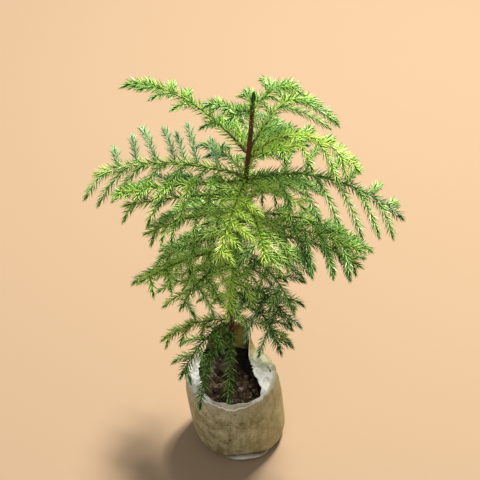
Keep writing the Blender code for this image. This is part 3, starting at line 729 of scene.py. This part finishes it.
# Its seat is on the skin of the shoot, and its size falls off in the last millimetres.
skin = add("ShaderNodeMath", {0: fields["thick"], 1: SEAT_SHARE}, operation="MULTIPLY")
on_skin = add("ShaderNodeVectorMath", {0: around, "Scale": skin}, operation="SCALE")
seated = add("GeometryNodeSetPosition", {"Geometry": dots["Points"], "Offset": on_skin})
by_tip = add("ShaderNodeMapRange", {0: fields["to_tip"], 1: 0.0, 2: SHORT_REACH, 3: given["Short"], 4: 1.0})
size = add("ShaderNodeMath", {0: given["Size"], 1: by_tip}, operation="MULTIPLY")
size = add("ShaderNodeMath", {0: size, 1: draws[2]}, operation="MULTIPLY")
shape = add("GeometryNodeObjectInfo", {"Object": given["Needle"]}, transform_space="ORIGINAL")
placed = add("GeometryNodeInstanceOnPoints", {"Points": seated, "Instance": shape.outputs["Geometry"],
                                              "Rotation": turned, "Scale": size})
whole = add("GeometryNodeRealizeInstances", {"Geometry": placed})
painted = add("GeometryNodeSetMaterial", {"Geometry": whole, "Material": given["Material"]})
needle_tree.links.new(painted.outputs[0], end.inputs[0])
print("needle tree nodes", len(needle_tree.nodes))

# %% Tones of green, dealt out by spray
MOST_TRIANGLES, MOST_JOINED = 190000, 199000
# The share of each spray dressed in a second tone, mostly a darker one, as painted shade among the needles.
SECOND_SHARE = 0.3

# For each kind of line: the spacing of its needles, their lean in degrees, and their size.
NEEDLE_KINDS = {"bough": (0.42 * MM, 58.0, 1.0), "side": (0.44 * MM, 47.0, 0.88), "twig": (0.48 * MM, 47.0, 0.84)}

# Needle skin is a waxy cuticle over soft green tissue: an even colour with a broad soft gloss.
# Lime and fresh are partly painted light and deep is partly painted shade. The third column is the tone that
# dresses a share of the sprays, mostly darker, as painted shade.
NEEDLE_TONES = {
    "lime": ("lime_needle_cuticle", "#D2EC66", "mid"),
    "fresh": ("fresh_needle_cuticle", "#BEE66C", "deep"),
    "mid": ("mid_green_needle_cuticle", "#A0D06C", "deep"),
    "deep": ("deep_green_needle_cuticle", "#2F5C20", "mid"),
    "blue": ("blue_green_needle_bloom", "#9CCA92", "deep"),
    "olive": ("olive_needle_cuticle", "#AEC052", "deep"),
}
finishes = {tone: new_finish(row[0], row[1], 0.33, 1.45)[0] for tone, row in NEEDLE_TONES.items()}


def set_needles(name, chosen, needle, finish, spacing, lean, tip_lean, closing, short=1.0, size=1.0, seed=0):
    """Needles set along lines, as one mesh. Leans are in degrees, and lengths in metres."""
    return grown_mesh(name, curve_from(f"{name}_lines", chosen), needle_tree, {
        "Needle": needle, "Spacing": spacing, "Lean": math.radians(lean), "Tip Lean": math.radians(tip_lean),
        "Closing": closing, "Short": short, "Size": size, "Seed": seed, "Material": finish})


def batches(tone, kind, spacing):
    """The lines whose needles are of this tone, in groups that stay under the triangle limit."""
    groups, total = [[]], 0.0
    for line in lines:
        if line.kind != kind or line.tone != tone:
            continue
        count = length_of(line) / spacing * NEEDLE_TRIANGLES
        if total + count > MOST_TRIANGLES:
            groups.append([])
            total = 0.0
        groups[-1].append(line)
        total += count
    return [group for group in groups if group]


def join_meshes(name, parts):
    """One mesh from several. The parts go."""
    mesh = bmesh.new()
    for part in parts:
        mesh.from_mesh(part)
        bpy.data.meshes.remove(part)
    return plain_mesh(name, mesh)


def needle_parts(tone):
    """Meshes of all the needles in a tone: its own sprays, and a share of the sprays of the tone beside it, darker
    needles as painted shade among lighter ones, and mid needles as painted light among deep ones.
    """
    parts = []
    owners = [(tone, 1.0 - SECOND_SHARE)]
    owners += [(other, SECOND_SHARE) for other, row in NEEDLE_TONES.items() if row[2] == tone]
    for owner, share in owners:
        for kind, (spacing, lean, size) in NEEDLE_KINDS.items():
            for group in batches(owner, kind, spacing / share):
                data = set_needles("needles", group, needle, finishes[tone], spacing / share, lean, 14.0, 10.0 * MM,
                                   short=0.65, size=size, seed=len(parts) + 10 * len(tone))
                parts.append((data, {f"foliage_{line.mass}" for line in group}))
    return parts


for tone in NEEDLE_TONES:
    pile, nodes, total, number = [], set(), 0, 1
    for data, masses in needle_parts(tone) + [(None, None)]:
        extra = count_triangles(data) if data else 0
        if pile and (data is None or total + extra > MOST_JOINED):
            joined = join_meshes(f"needles_{tone}_{number}", pile)
            add_piece(joined, finishes[tone], sorted(nodes))
            pile, nodes, total, number = [], set(), 0, number + 1
        if data:
            pile.append(data)
            nodes |= masses
            total += extra

# %% [markdown]
# ## Shoot tips and the terminal bud
# Every shoot ends in a closed point of dark young needles that lie along each other. The leader ends in the
# same way, only larger. They are made with the same tree of nodes: short lines at the tips, needles that
# lean by only a few degrees, and a spacing so close that they overlap like scales.

# %% Closed tips
TIP_LENGTH = 5.0 * MM
tip_needle = needle_object("tip_needle", 4.8, 1.1, 0.9, 0.1)
tip_finish = new_finish("dark_bud_needle_cuticle", "#25461A", 0.45, 1.42)[0]


def tip_line(line):
    """The last few millimetres of a line."""
    end_point = line.points[-1]
    back = (line.points[-2] - end_point).normalized()
    points = [end_point + back * (TIP_LENGTH * (1.0 - step / 3.0) + 1.0 * MM) for step in range(4)]
    return line._replace(points=points, radii=[0.75 * MM] * 4)


tips = [tip_line(line) for line in lines]
data = set_needles("shoot_tips", tips, tip_needle, tip_finish, 0.4 * MM, 8.0, -4.0, 3.0 * MM, seed=5)
add_piece(data, None, foliage_nodes)

bud_needle = needle_object("bud_needle", 6.4, 1.9, 1.5, 0.3)
top = trunk_axis(TRUNK_TOP)
rising = (top - trunk_axis(TRUNK_TOP - 10.0 * MM)).normalized()
bud_line = Line("", "bud", [top + rising * (step * 1.0 * MM - 1.0 * MM) for step in range(8)], [1.2 * MM] * 8, "")
data = set_needles("terminal_bud_scales", [bud_line], bud_needle, tip_finish, 0.22 * MM, 13.0, 3.0, 6.0 * MM,
                   seed=9)
add_piece(data, None, ["terminal_bud"])

# %% [markdown]
# ## Needles on the leader
# The leader keeps its own needles where it is green: a loose sleeve of them between the whorls.

# %% Trunk needles
# The parts of the trunk that have needles, from one height to another in millimetres.
NEEDLED_PARTS = ((168, 345), (386, 411))
trunk_lines = []
for low, high in NEEDLED_PARTS:
    steps = (high - low) // 6
    spots = [trunk_axis((low + (high - low) * step / steps) * MM) for step in range(steps + 1)]
    trunk_lines.append(Line("", "trunk", spots, [trunk_radius(spot.z) for spot in spots], "fresh"))
data = set_needles("needles_on_trunk", trunk_lines, needle, finishes["fresh"], 0.5 * MM, 58.0, 40.0, 12.0 * MM,
                   short=0.8, seed=31)
add_piece(data, None, foliage_nodes)

# %% [markdown]
# ## The bag
# The bag is a tube of blown polythene film, welded across its foot and filled by hand. The soil pushes it
# round; the slack is folded down all round the mouth, wide on the right and on the left, and at the back a
# tongue of it stands up. Film creases in flat facets with sharp edges between them. The shape is lofted from
# the same levels as the solid, with many more rings, and a crumple of facets is pressed into it in code.

# %% Shape of the film
SHOULDER = 79.0 * MM
BAG_LEVELS = ((0, 37.0, 2.0), (1, 41.0, 1.8), (6, 45.2, 1.0), (18, 47.2, -0.5), (38, 47.8, -3.0),
              (60, 47.4, -5.6), (79, 46.4, -7.8))
FOLD_WIDTH, FOLD_RISE = 2.0 * MM, 4.0 * MM
RIGHT_LOBE = (14.0, 48.0, 22.0 * MM, 4.0 * MM)
LEFT_LOBE = (182.0, 50.0, 11.0 * MM, 3.0 * MM)
BACK_LOBE = (89.0, 34.0, -3.0 * MM, 25.0 * MM)
CREASES, DEEPEST_DENT = 0.010, 1.5 * MM
BIG_FACET, BIG_DEPTH = 22.0 * MM, 1.8 * MM
SMALL_FACET, SMALL_DEPTH = 8.0 * MM, 0.6 * MM
FILM_THICKNESS = 0.35 * MM
PLEAT, PLEAT_REACH = 0.8 * MM, 10.0 * MM
TUCK_ANGLE, TUCK_WIDTH, TUCK_HEIGHT = 281.0, 32.0, 10.5
TUCK_PUFF, TUCK_FOLD = 2.4, 4.6
AROUND, WALL_RINGS, FOLD_RINGS = 224, 84, 28


def lobe_share(angle, lobe):
    """How strongly a lobe of the folded film is felt at an angle."""
    away = (math.degrees(angle) - lobe[0] + 180.0) % 360.0 - 180.0
    return math.exp(-((away / lobe[1]) ** 4))


def fold_size(angle):
    """The width of the fold and the height of its edge at an angle."""
    width, rise = FOLD_WIDTH, FOLD_RISE
    for lobe in (RIGHT_LOBE, LEFT_LOBE, BACK_LOBE):
        share = lobe_share(angle, lobe)
        width += lobe[2] * share
        rise += lobe[3] * share
    return width, rise


def crease(angle, height):
    """The shallow vertical creases of the film, as a change of radius that fades out at the base."""
    fade = smooth_step(height / SHOULDER)
    wave = math.sin(5.0 * angle + 0.8) + 0.6 * math.sin(9.0 * angle + 30.0 * height)
    return 1.0 + CREASES * fade * wave


def level_at(height):
    """Radius and shift of the bag at a height, in metres: straight at the foot, then a smooth curve."""
    rows = BAG_LEVELS
    place = min(max(height / MM, 0.0), rows[-1][0])
    index = max(i for i in range(len(rows) - 1) if rows[i][0] <= place)
    share = (place - rows[index][0]) / (rows[index + 1][0] - rows[index][0])
    around = [rows[min(max(index + step, 0), len(rows) - 1)] for step in (-1, 0, 1, 2)]
    values = []
    for column in (1, 2):
        a, b, c, d = (row[column] for row in around)
        slope_b, slope_c = (c - a) / 2.0, (d - b) / 2.0
        value = b + (c - b) * share if index < 2 else (
            b + slope_b * share + (3.0 * (c - b) - 2.0 * slope_b - slope_c) * share ** 2
            + (2.0 * (b - c) + slope_b + slope_c) * share ** 3)
        values.append(value * MM)
    return values


def facets(spot, size, seed):
    """Flat facets with sharp ridges between them: how far a spot is from the nearest of scattered points."""
    near = noise.voronoi(spot / size + Vector((seed, 0.0, 0.0)))[0]
    return near[1] - near[0]


def bag_point(height, angle):
    """A point of the wall with its creases and its crumple."""
    radius, shift = level_at(height)
    flat = Vector((math.cos(angle), math.sin(angle), 0.0))
    spot = Vector((shift, 0.0, height)) + flat * radius
    loose = 0.35 + 0.65 * smooth_step((height - 50.0 * MM) / (30.0 * MM)) + 0.6 * math.exp(-height / (9.0 * MM))
    stretched = Vector((spot.x, spot.y, spot.z * 0.55))
    big = facets(stretched, BIG_FACET, 3.0) - 0.35
    small = facets(spot, SMALL_FACET, 9.0) - 0.3
    dent = noise.noise(spot * 38.0) * 1.4 * MM
    pleat = front_tuck(height, angle) + rim_pleat(height, angle)
    out = radius * crease(angle, height) - loose * (BIG_DEPTH * (0.4 - big) + SMALL_DEPTH * (0.3 - small))
    fade = smooth_step(height / (5.0 * MM))
    out = radius + max((out - radius + dent * 0.6) * fade, -DEEPEST_DENT) + pleat
    return Vector((shift, 0.0, height)) + flat * out


def tuck_shares(height, angle):
    """The welded corner that is tucked under the front of the foot: shares of its puffed edge and its crease."""
    away = (math.degrees(angle) - TUCK_ANGLE + 180.0) % 360.0 - 180.0
    share = math.exp(-((away / TUCK_WIDTH) ** 4))
    above = height / MM - TUCK_HEIGHT * (1.0 - 0.6 * (away / TUCK_WIDTH) ** 2)
    return share * math.exp(-(((above + 5.0) / 3.4) ** 2)), share * math.exp(-((above / 1.6) ** 2))


def front_tuck(height, angle):
    """How far the puffed edge stands out from the wall, and the crease above it lies in."""
    puffed, folded = tuck_shares(height, angle)
    return MM * (TUCK_PUFF * puffed - TUCK_FOLD * folded)


def rim_pleat(height, angle):
    """The short pleats of the film where it is gathered at the mouth."""
    wave = math.sin(23.0 * angle + 3.0 * math.sin(2.0 * angle)) * (0.6 + 0.4 * math.sin(7.0 * angle))
    return PLEAT * wave * math.exp(-(((SHOULDER - height) / PLEAT_REACH) ** 2))


def fold_point(share, angle):
    """A point of the film that is folded in at the mouth, or stands up behind."""
    shoulder = bag_point(SHOULDER, angle)
    inward = Vector((-math.cos(angle), -math.sin(angle), 0.0))
    width, rise = fold_size(angle)
    bulge = math.sin(0.5 * math.pi * share)
    spot = shoulder + inward * (width * share) + UP * (rise * bulge)
    amount = min(1.0, 3.0 * share)
    crumple = facets(spot, 11.0 * MM, 21.0) - 0.3
    fine = facets(spot, 5.0 * MM, 33.0) - 0.3
    puff = (3.4 * MM * crumple + 1.2 * MM * fine + 1.2 * MM * noise.noise(spot * 70.0)) * amount
    back = lobe_share(angle, BACK_LOBE)
    upward = UP * (1.0 - back) + inward * back * 0.8
    wide = min(1.0, width / (10.0 * MM))
    return spot + upward * puff * max(wide, back)


# %% Film mesh
VENT_ANGLE, VENT_SHARE, VENT_RADIUS = math.radians(4.0), 0.3, 1.3 * MM
# The yellow back is partly dirt and partly a painted glow of light through the film; the front is where the bright
# edge is.
GLOW_AND_DIRT_ZONE, FRONT_ZONE = (89.0, 44.0), (258.0, 46.0)


def zones_at(share, angle):
    """Where the film is clean and white, where it is yellow, partly dirt and partly a painted glow of light through
    the film from behind, and where its bright edge is seen.
    """
    back = lobe_share(angle, GLOW_AND_DIRT_ZONE)
    front = lobe_share(angle, FRONT_ZONE)
    edge = smooth_step((share - 0.86) / 0.1) * max(front, back)
    return smooth_step(share * 3.0) * (1.0 - back), back, edge, 1.0


def wall_zones(height, angle):
    """The same for the wall: yellow at the top of the back, partly dirt and partly a painted glow of light through
    the film, a painted highlight on the puffed edge, and painted shade in its crease.
    """
    puffed, folded = tuck_shares(height, angle)
    high = smooth_step((height - 64.0 * MM) / (14.0 * MM))
    # 0.6 of the white lips on the puffed edge is a painted highlight.
    return 0.6 * puffed, lobe_share(angle, GLOW_AND_DIRT_ZONE) * high, 0.0, 1.0 - folded


def film_rings(mesh, layer, rows):
    """Rings or strips of film, each point with its zones: returns the vertices, row by row."""
    grid = []
    for points, zones in rows:
        grid.append([mesh.verts.new(point) for point in points])
        for vert, zone in zip(grid[-1], zones):
            vert[layer] = zone
    return grid


mesh = bmesh.new()
zone_layer = mesh.verts.layers.float_color.new("zones")
angles = [math.tau * step / AROUND for step in range(AROUND)]
bare = [(0.0, 0.0, 0.0, 1.0)] * AROUND
middle = Vector((2.0 * MM, 0.0, 0.0))
rows = [([middle + (bag_point(0.0, angle) - middle) * inner for angle in angles], bare)
        for inner in (0.12, 0.4, 0.7, 0.92)]
for step in range(WALL_RINGS + 1):
    height = SHOULDER * (step / WALL_RINGS) ** 1.25
    rows.append(([bag_point(height, angle) for angle in angles], [wall_zones(height, angle) for angle in angles]))
for step in range(1, FOLD_RINGS + 1):
    share = step / FOLD_RINGS
    rows.append(([fold_point(share, angle) for angle in angles], [zones_at(share, angle) for angle in angles]))
rings = film_rings(mesh, zone_layer, rows)
mesh.faces.new(reversed(rings[0]))
join_rings(mesh, rings)
vent = fold_point(VENT_SHARE, VENT_ANGLE)
punched = [face for face in mesh.faces if (face.calc_center_median() - vent).length < VENT_RADIUS]
bmesh.ops.delete(mesh, geom=punched, context="FACES")
bag_data = mesh_from("polythene_grow_bag", mesh)
print("film faces", len(bag_data.polygons), "punched out for the vent", len(punched))

# %% [markdown]
# At the front the edge of the film is turned outwards in a short flap that hangs over the wall, so that two
# bright lines show: the fold at the top and the cut edge below. It is a strip that follows a small profile.

# %% Turned edge
FLAP_FROM, FLAP_TO, FLAP_STEPS = 243.0, 297.0, 72
FLAP_PROFILE = ((-0.2, -0.3), (0.2, 0.7), (1.2, 1.1), (2.3, 0.6), (3.0, -0.7), (3.1, -2.6), (2.9, -4.5),
                (3.1, -5.8), (3.6, -6.4))


def flap_row(out, up, edge):
    """The points of the flap along the rim at one place of its profile, smaller towards both ends."""
    points = []
    for step in range(FLAP_STEPS + 1):
        share = step / FLAP_STEPS
        angle = math.radians(FLAP_FROM + (FLAP_TO - FLAP_FROM) * share)
        size = math.sin(math.pi * share) ** 0.5
        size *= 0.85 + 0.3 * noise.noise(Vector((9.0 * share, 0.0, 0.0)))
        outward = Vector((math.cos(angle), math.sin(angle), 0.0))
        reach = 0.25 + 0.75 * size
        points.append(fold_point(1.0, angle) + outward * (out * reach * MM) + UP * (up * size * MM))
    return points, [(0.25, 0.0, edge, 1.0)] * (FLAP_STEPS + 1)


mesh = bmesh.new()
zone_layer = mesh.verts.layers.float_color.new("zones")
edges = (0.3, 1.0, 0.8, 0.0, 0.0, 0.0, 0.0, 1.0, 1.0)
strips = film_rings(mesh, zone_layer, [flap_row(out, up, edge) for (out, up), edge in zip(FLAP_PROFILE, edges)])
for low, high in zip(strips, strips[1:]):
    for side in range(FLAP_STEPS):
        mesh.faces.new((low[side], high[side], high[side + 1], low[side + 1]))
flap_data = mesh_from("turned_film_edge", mesh)
print("flap faces", len(flap_data.polygons))

# %% [markdown]
# Low-density polythene is milky and a little glossy when it is clean. This bag has stood outdoors: dust and
# algae have turned the wall a dull olive beige, with streaks where water ran down and dark specks of soil
# splash. The folded lips show the cleaner white side of the film, and the tongue at the back is yellow, partly
# from dirt and partly from light shining through it from behind, which is painted into its colour.
# The zones come from an attribute on the mesh, and the streaks from a noise that is stretched upwards.

# %% Film finish
film, tree, shader = new_finish("dusty_polythene_film", "#A79B78", 0.42, 1.51)
add = partial(add_node, tree)
place = add("ShaderNodeTexCoord").outputs["Object"]
spot = add("ShaderNodeSeparateXYZ", {0: place}).outputs
zones = add("ShaderNodeAttribute", attribute_name="zones").outputs
# The zones: red is the white lips and a painted highlight on the puffed edge, green is the yellow back, dirt with a
# painted glow, blue is the bright edge, and alpha is low in the crease, where painted shade goes.
white_and_highlight_zone, glow_and_dirt_zone, edge_zone = add("ShaderNodeSeparateColor", {0: zones["Color"]}).outputs
cloud = add("ShaderNodeTexNoise", {0: place, "Scale": 75.0, "Detail": 8.0, "Roughness": 0.7})
color = add("ShaderNodeValToRGB", {0: cloud}, ((0.36, "#786D43"), (0.64, "#C8C09A")))

# Water marks: about 3 mm wide and ten times as long.
upright = add("ShaderNodeMapping", {"Vector": place, "Scale": (1.0, 1.0, 0.1)})
runs = add("ShaderNodeTexNoise", {0: upright, "Scale": 330.0, "Detail": 4.0})
streak = add("ShaderNodeMapRange", {0: runs, 1: 0.5, 2: 0.7, 3: 0.0, 4: 0.5})

# Specks of soil splash of 1 to 3 mm, a darker band round the foot, and green algae on the side that stays damp.
speck = add("ShaderNodeTexNoise", {0: place, "Scale": 420.0, "Detail": 3.0})
dirt = add("ShaderNodeMapRange", {0: speck, 1: 0.6, 2: 0.68, 3: 0.0, 4: 0.85})
foot = add("ShaderNodeMapRange", {0: spot["Z"], 1: 0.014, 2: 0.004, 3: 0.0, 4: 0.45})
mouth = add("ShaderNodeMapRange", {0: spot["Z"], 1: 0.060, 2: 0.079, 3: 0.0, 4: 0.4})
algae = add("ShaderNodeMapRange", {0: spot["X"], 1: -0.005, 2: 0.045, 3: 0.0, 4: 0.5})

# The lips: greenish grey towards the back on the right, partly the tint of the film and partly painted shade, and
# almost white towards the front and the left, partly the clean film and partly painted light.
clean = add("ShaderNodeValToRGB", {0: cloud}, ((0.4, "#B4B6AC"), (0.56, "#FAFAF8")))
green = add("ShaderNodeValToRGB", {0: cloud}, ((0.4, "#8F936E"), (0.6, "#C6C9AE")))
depth = add("ShaderNodeMapRange", {0: spot["Y"], 1: -0.006, 2: 0.012, 3: 0.0, 4: 1.0})
right = add("ShaderNodeMapRange", {0: spot["X"], 1: -0.02, 2: 0.01, 3: 0.3, 4: 1.0})
lip_tint_and_shade = add("ShaderNodeMath", {0: depth, 1: right}, operation="MULTIPLY")
lip = add("ShaderNodeMix", {0: lip_tint_and_shade, 6: clean, 7: green}, data_type="RGBA").outputs[2]
# The tongue at the back: brown patches of dirt, and yellow that is a painted glow of light through the film from
# behind.
yellow = add("ShaderNodeValToRGB", {0: cloud}, ((0.38, "#5E4A16"), (0.62, "#BCA954")))

# The layers lie over each other in this order, and over them all the creases beside the welds get a near black
# painted shade.
for share, layer in ((streak, linear("#6F6540")), (dirt, linear("#4A4027")), (foot, linear("#6A5C3A")),
                     (mouth, linear("#B9B2A0")), (algae, linear("#98934F")), (white_and_highlight_zone, lip),
                     (glow_and_dirt_zone, yellow), (edge_zone, linear("#FBF8EC"))):
    color = add("ShaderNodeMix", {0: share, 6: color, 7: layer}, data_type="RGBA").outputs[2]
# Painted shade: near black in the crease beside the weld, from the alpha of the zones.
color = add("ShaderNodeMix", {0: zones["Alpha"], 6: linear("#1C170C"), 7: color}, data_type="RGBA").outputs[2]
tree.links.new(color, shader.inputs["Base Color"])
wear = add("ShaderNodeMapRange", {0: cloud, 1: 0.3, 2: 0.7, 3: 0.3, 4: 0.6})
tree.links.new(wear.outputs[0], shader.inputs["Roughness"])
grain = add("ShaderNodeTexNoise", {0: place, "Scale": 260.0, "Detail": 5.0})
bump = add("ShaderNodeBump", {"Strength": 0.4, "Distance": 0.0006, "Height": grain})
tree.links.new(bump.outputs[0], shader.inputs["Normal"])

for data in (bag_data, flap_data):
    sheet = add_piece(data, film, ["grow_bag"])
    wall_thickness = sheet.modifiers.new("film", "SOLIDIFY")
    wall_thickness.thickness = FILM_THICKNESS
    wall_thickness.offset = -1.0

# %% [markdown]
# ## Soil
# Potting soil that has dried and caked: a dark bed that rises to the back of the bag, broken into clods.
# The bed is one closed mesh with relief. The clods are one rough lump of 80 faces, scattered by nodes.

# %% Bed of soil
SOIL_INSET, FOOT_INSET = 2.8 * MM, 7.5 * MM
SOIL_BANK, BACK_REACH = 8.0 * MM, 45.0 * MM
CAKE, CRACK_DEPTH = 17.0 * MM, 5.0 * MM
SOIL_SIDES, SOIL_RINGS = 120, 30


def crack_share(x, y):
    """How deep in a crack between two cakes of soil a spot lies, from 0 to 1."""
    spot = Vector((x / CAKE, y / CAKE, 0.7))
    spot += Vector((noise.noise(spot * 2.3), noise.noise(spot * 2.3 + UP), 0.0)) * 0.35
    return 1.0 - smooth_step(facets(spot, 1.0, 0.0) / 0.3)


def soil_top(x, y):
    """The height of the soil: banked towards the back, cracked, and level where the trunk stands."""
    spot = Vector((x, y, 0.0))
    rough = noise.fractal(spot / (5.0 * MM), 0.8, 2.0, 4)
    lumps = 0.5 - noise.voronoi(spot / (7.0 * MM))[0][0]
    height = SOIL_LEVEL + SOIL_BANK * smooth_step(y / BACK_REACH) + 2.0 * MM * lumps + 1.0 * MM * rough
    height += 1.5 * MM - CRACK_DEPTH * crack_share(x, y)
    calm = smooth_step((math.hypot(x - FOOT_X, y) - 3.0 * MM) / (6.0 * MM))
    return SOIL_LEVEL + (height - SOIL_LEVEL) * calm


mesh = bmesh.new()
rings = []
soil_angles = [math.tau * step / SOIL_SIDES for step in range(SOIL_SIDES)]
for height, inset in ((3.0, FOOT_INSET), (16.0, FOOT_INSET), (26.0, SOIL_INSET), (40.0, SOIL_INSET),
                      (60.0, SOIL_INSET)):
    radius, shift = level_at(height * MM)
    radius -= inset
    rings.append([mesh.verts.new((radius * math.cos(a) + shift, radius * math.sin(a), height * MM))
                  for a in soil_angles])
radius, shift = level_at(SOIL_LEVEL)
for step in range(SOIL_RINGS):
    share = 1.0 - step / SOIL_RINGS
    ring = []
    for a in soil_angles:
        x = FOOT_X + (shift - FOOT_X + (radius - SOIL_INSET) * math.cos(a)) * share
        y = (radius - SOIL_INSET) * math.sin(a) * share
        ring.append(mesh.verts.new((x, y, soil_top(x, y))))
    rings.append(ring)
mesh.faces.new(reversed(rings[0]))
mesh.faces.new(rings[-1])
join_rings(mesh, rings)


def earth_finish(name, dark, light, roughness):
    """Potting soil, fully matt: dark grains and paler crumbs of about 1 mm, and painted shade, near black, towards
    the back.
    """
    material, tree, shader = new_finish(name, dark, roughness, 1.4)
    add = partial(add_node, tree)
    place = add("ShaderNodeTexCoord").outputs["Object"]
    crumbs = add("ShaderNodeTexNoise", {0: place, "Scale": 330.0, "Detail": 6.0, "Roughness": 0.7})
    ramp = add("ShaderNodeValToRGB", {0: crumbs}, ((0.38, dark), (0.72, light)))
    depth = add("ShaderNodeSeparateXYZ", {0: place}).outputs["Y"]
    # Painted shade: the soil turns near black towards the back, where the wall of the bag shades it.
    back_shade = add("ShaderNodeMapRange", {0: depth, 1: -0.004, 2: 0.022, 3: 0.0, 4: 0.8})
    shaded = add("ShaderNodeMix", {0: back_shade, 6: ramp, 7: linear("#140E08")}, data_type="RGBA")
    tree.links.new(shaded.outputs[2], shader.inputs["Base Color"])
    bump = add("ShaderNodeBump", {"Strength": 0.8, "Distance": 0.001, "Height": crumbs})
    tree.links.new(bump.outputs[0], shader.inputs["Normal"])
    return material


damp_earth = earth_finish("damp_potting_soil", "#1E170D", "#6B563C", 0.95)
dry_earth = earth_finish("dry_soil_clod", "#3E3022", "#B39A84", 0.95)
pale_grit = earth_finish("pale_mineral_grit", "#9A8C7A", "#E8DCCB", 0.8)
add_piece(mesh_from("soil_bed", mesh), damp_earth, ["soil"])

# %% Clods by Geometry Nodes
clod_tree, given, end = new_tree("clods_on_soil", (
    ("Clod", "NodeSocketObject"), ("Density", "NodeSocketFloat"), ("Smallest", "NodeSocketFloat"),
    ("Largest", "NodeSocketFloat"), ("Seed", "NodeSocketInt"), ("Material", "NodeSocketMaterial")))
add = partial(add_node, clod_tree)
spread = add("GeometryNodeDistributePointsOnFaces",
             {"Mesh": given["Geometry"], "Density": given["Density"], "Seed": given["Seed"]})
turns = add("FunctionNodeRandomValue", {1: (math.tau, math.tau, math.tau), "Seed": given["Seed"]},
            data_type="FLOAT_VECTOR")
sizes = add("FunctionNodeRandomValue", {2: given["Smallest"], 3: given["Largest"], "Seed": given["Seed"]},
            data_type="FLOAT")
shape = add("GeometryNodeObjectInfo", {"Object": given["Clod"]}, transform_space="ORIGINAL")
placed = add("GeometryNodeInstanceOnPoints", {"Points": spread, "Instance": shape.outputs["Geometry"],
                                              "Rotation": turns, "Scale": sizes.outputs[1]})
whole = add("GeometryNodeRealizeInstances", {"Geometry": placed})
faceted = add("GeometryNodeSetShadeSmooth", {"Geometry": whole, "Shade Smooth": False})
painted = add("GeometryNodeSetMaterial", {"Geometry": faceted, "Material": given["Material"]})
clod_tree.links.new(painted.outputs[0], end.inputs[0])

mesh = bmesh.new()
bmesh.ops.create_icosphere(mesh, subdivisions=2, radius=1.0)
for vert in mesh.verts:
    vert.co *= 0.8 + 0.55 * noise.noise(vert.co * 1.3 + Vector((4.0, 0.0, 0.0)))
    vert.co.z *= 0.75
clod = bpy.data.objects.new("clod", plain_mesh("clod", mesh))


def soil_patch(name, reach):
    """A sheet on top of the soil for clods to lie on."""
    mesh = bmesh.new()
    steps = [reach * (step / 12.0 - 1.0) for step in range(25)]
    rows = [[mesh.verts.new((FOOT_X + x, y, soil_top(FOOT_X + x, y))) for y in steps] for x in steps]
    for row, after in zip(rows, rows[1:]):
        for j in range(24):
            corners = (row[j], after[j], after[j + 1], row[j + 1])
            if all(math.hypot(v.co.x - FOOT_X, v.co.y) < reach for v in corners):
                mesh.faces.new(corners)
    bmesh.ops.delete(mesh, geom=[v for v in mesh.verts if not v.link_faces], context="VERTS")
    item = bpy.data.objects.new(name, plain_mesh(name, mesh))
    scene.collection.objects.link(item)
    return item


for name, reach, density, small, large, seed, finish in (
        ("soil_lumps", 27.0 * MM, 2600.0, 4.5 * MM, 7.5 * MM, 3, dry_earth),
        ("soil_clods", 36.0 * MM, 7000.0, 1.6 * MM, 4.0 * MM, 12, dry_earth),
        ("soil_crumbs", 36.0 * MM, 60000.0, 0.5 * MM, 1.4 * MM, 4, damp_earth),
        ("soil_grit", 36.0 * MM, 9000.0, 0.4 * MM, 1.0 * MM, 8, pale_grit)):
    data = grown_mesh(name, soil_patch("patch", reach), clod_tree, {
        "Clod": clod, "Density": density, "Smallest": small, "Largest": large, "Seed": seed, "Material": finish})
    add_piece(data, None, ["soil"])

# %% [markdown]
# ## Sizes
# The helper shapes are removed, and the box of the dressed plant is printed.

# %% Finish
for helper in (needle, tip_needle, bud_needle, clod):
    bpy.data.objects.remove(helper, do_unlink=True)
low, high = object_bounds()
print("dressed box in mm", [round(1000 * side, 1) for side in high - low])
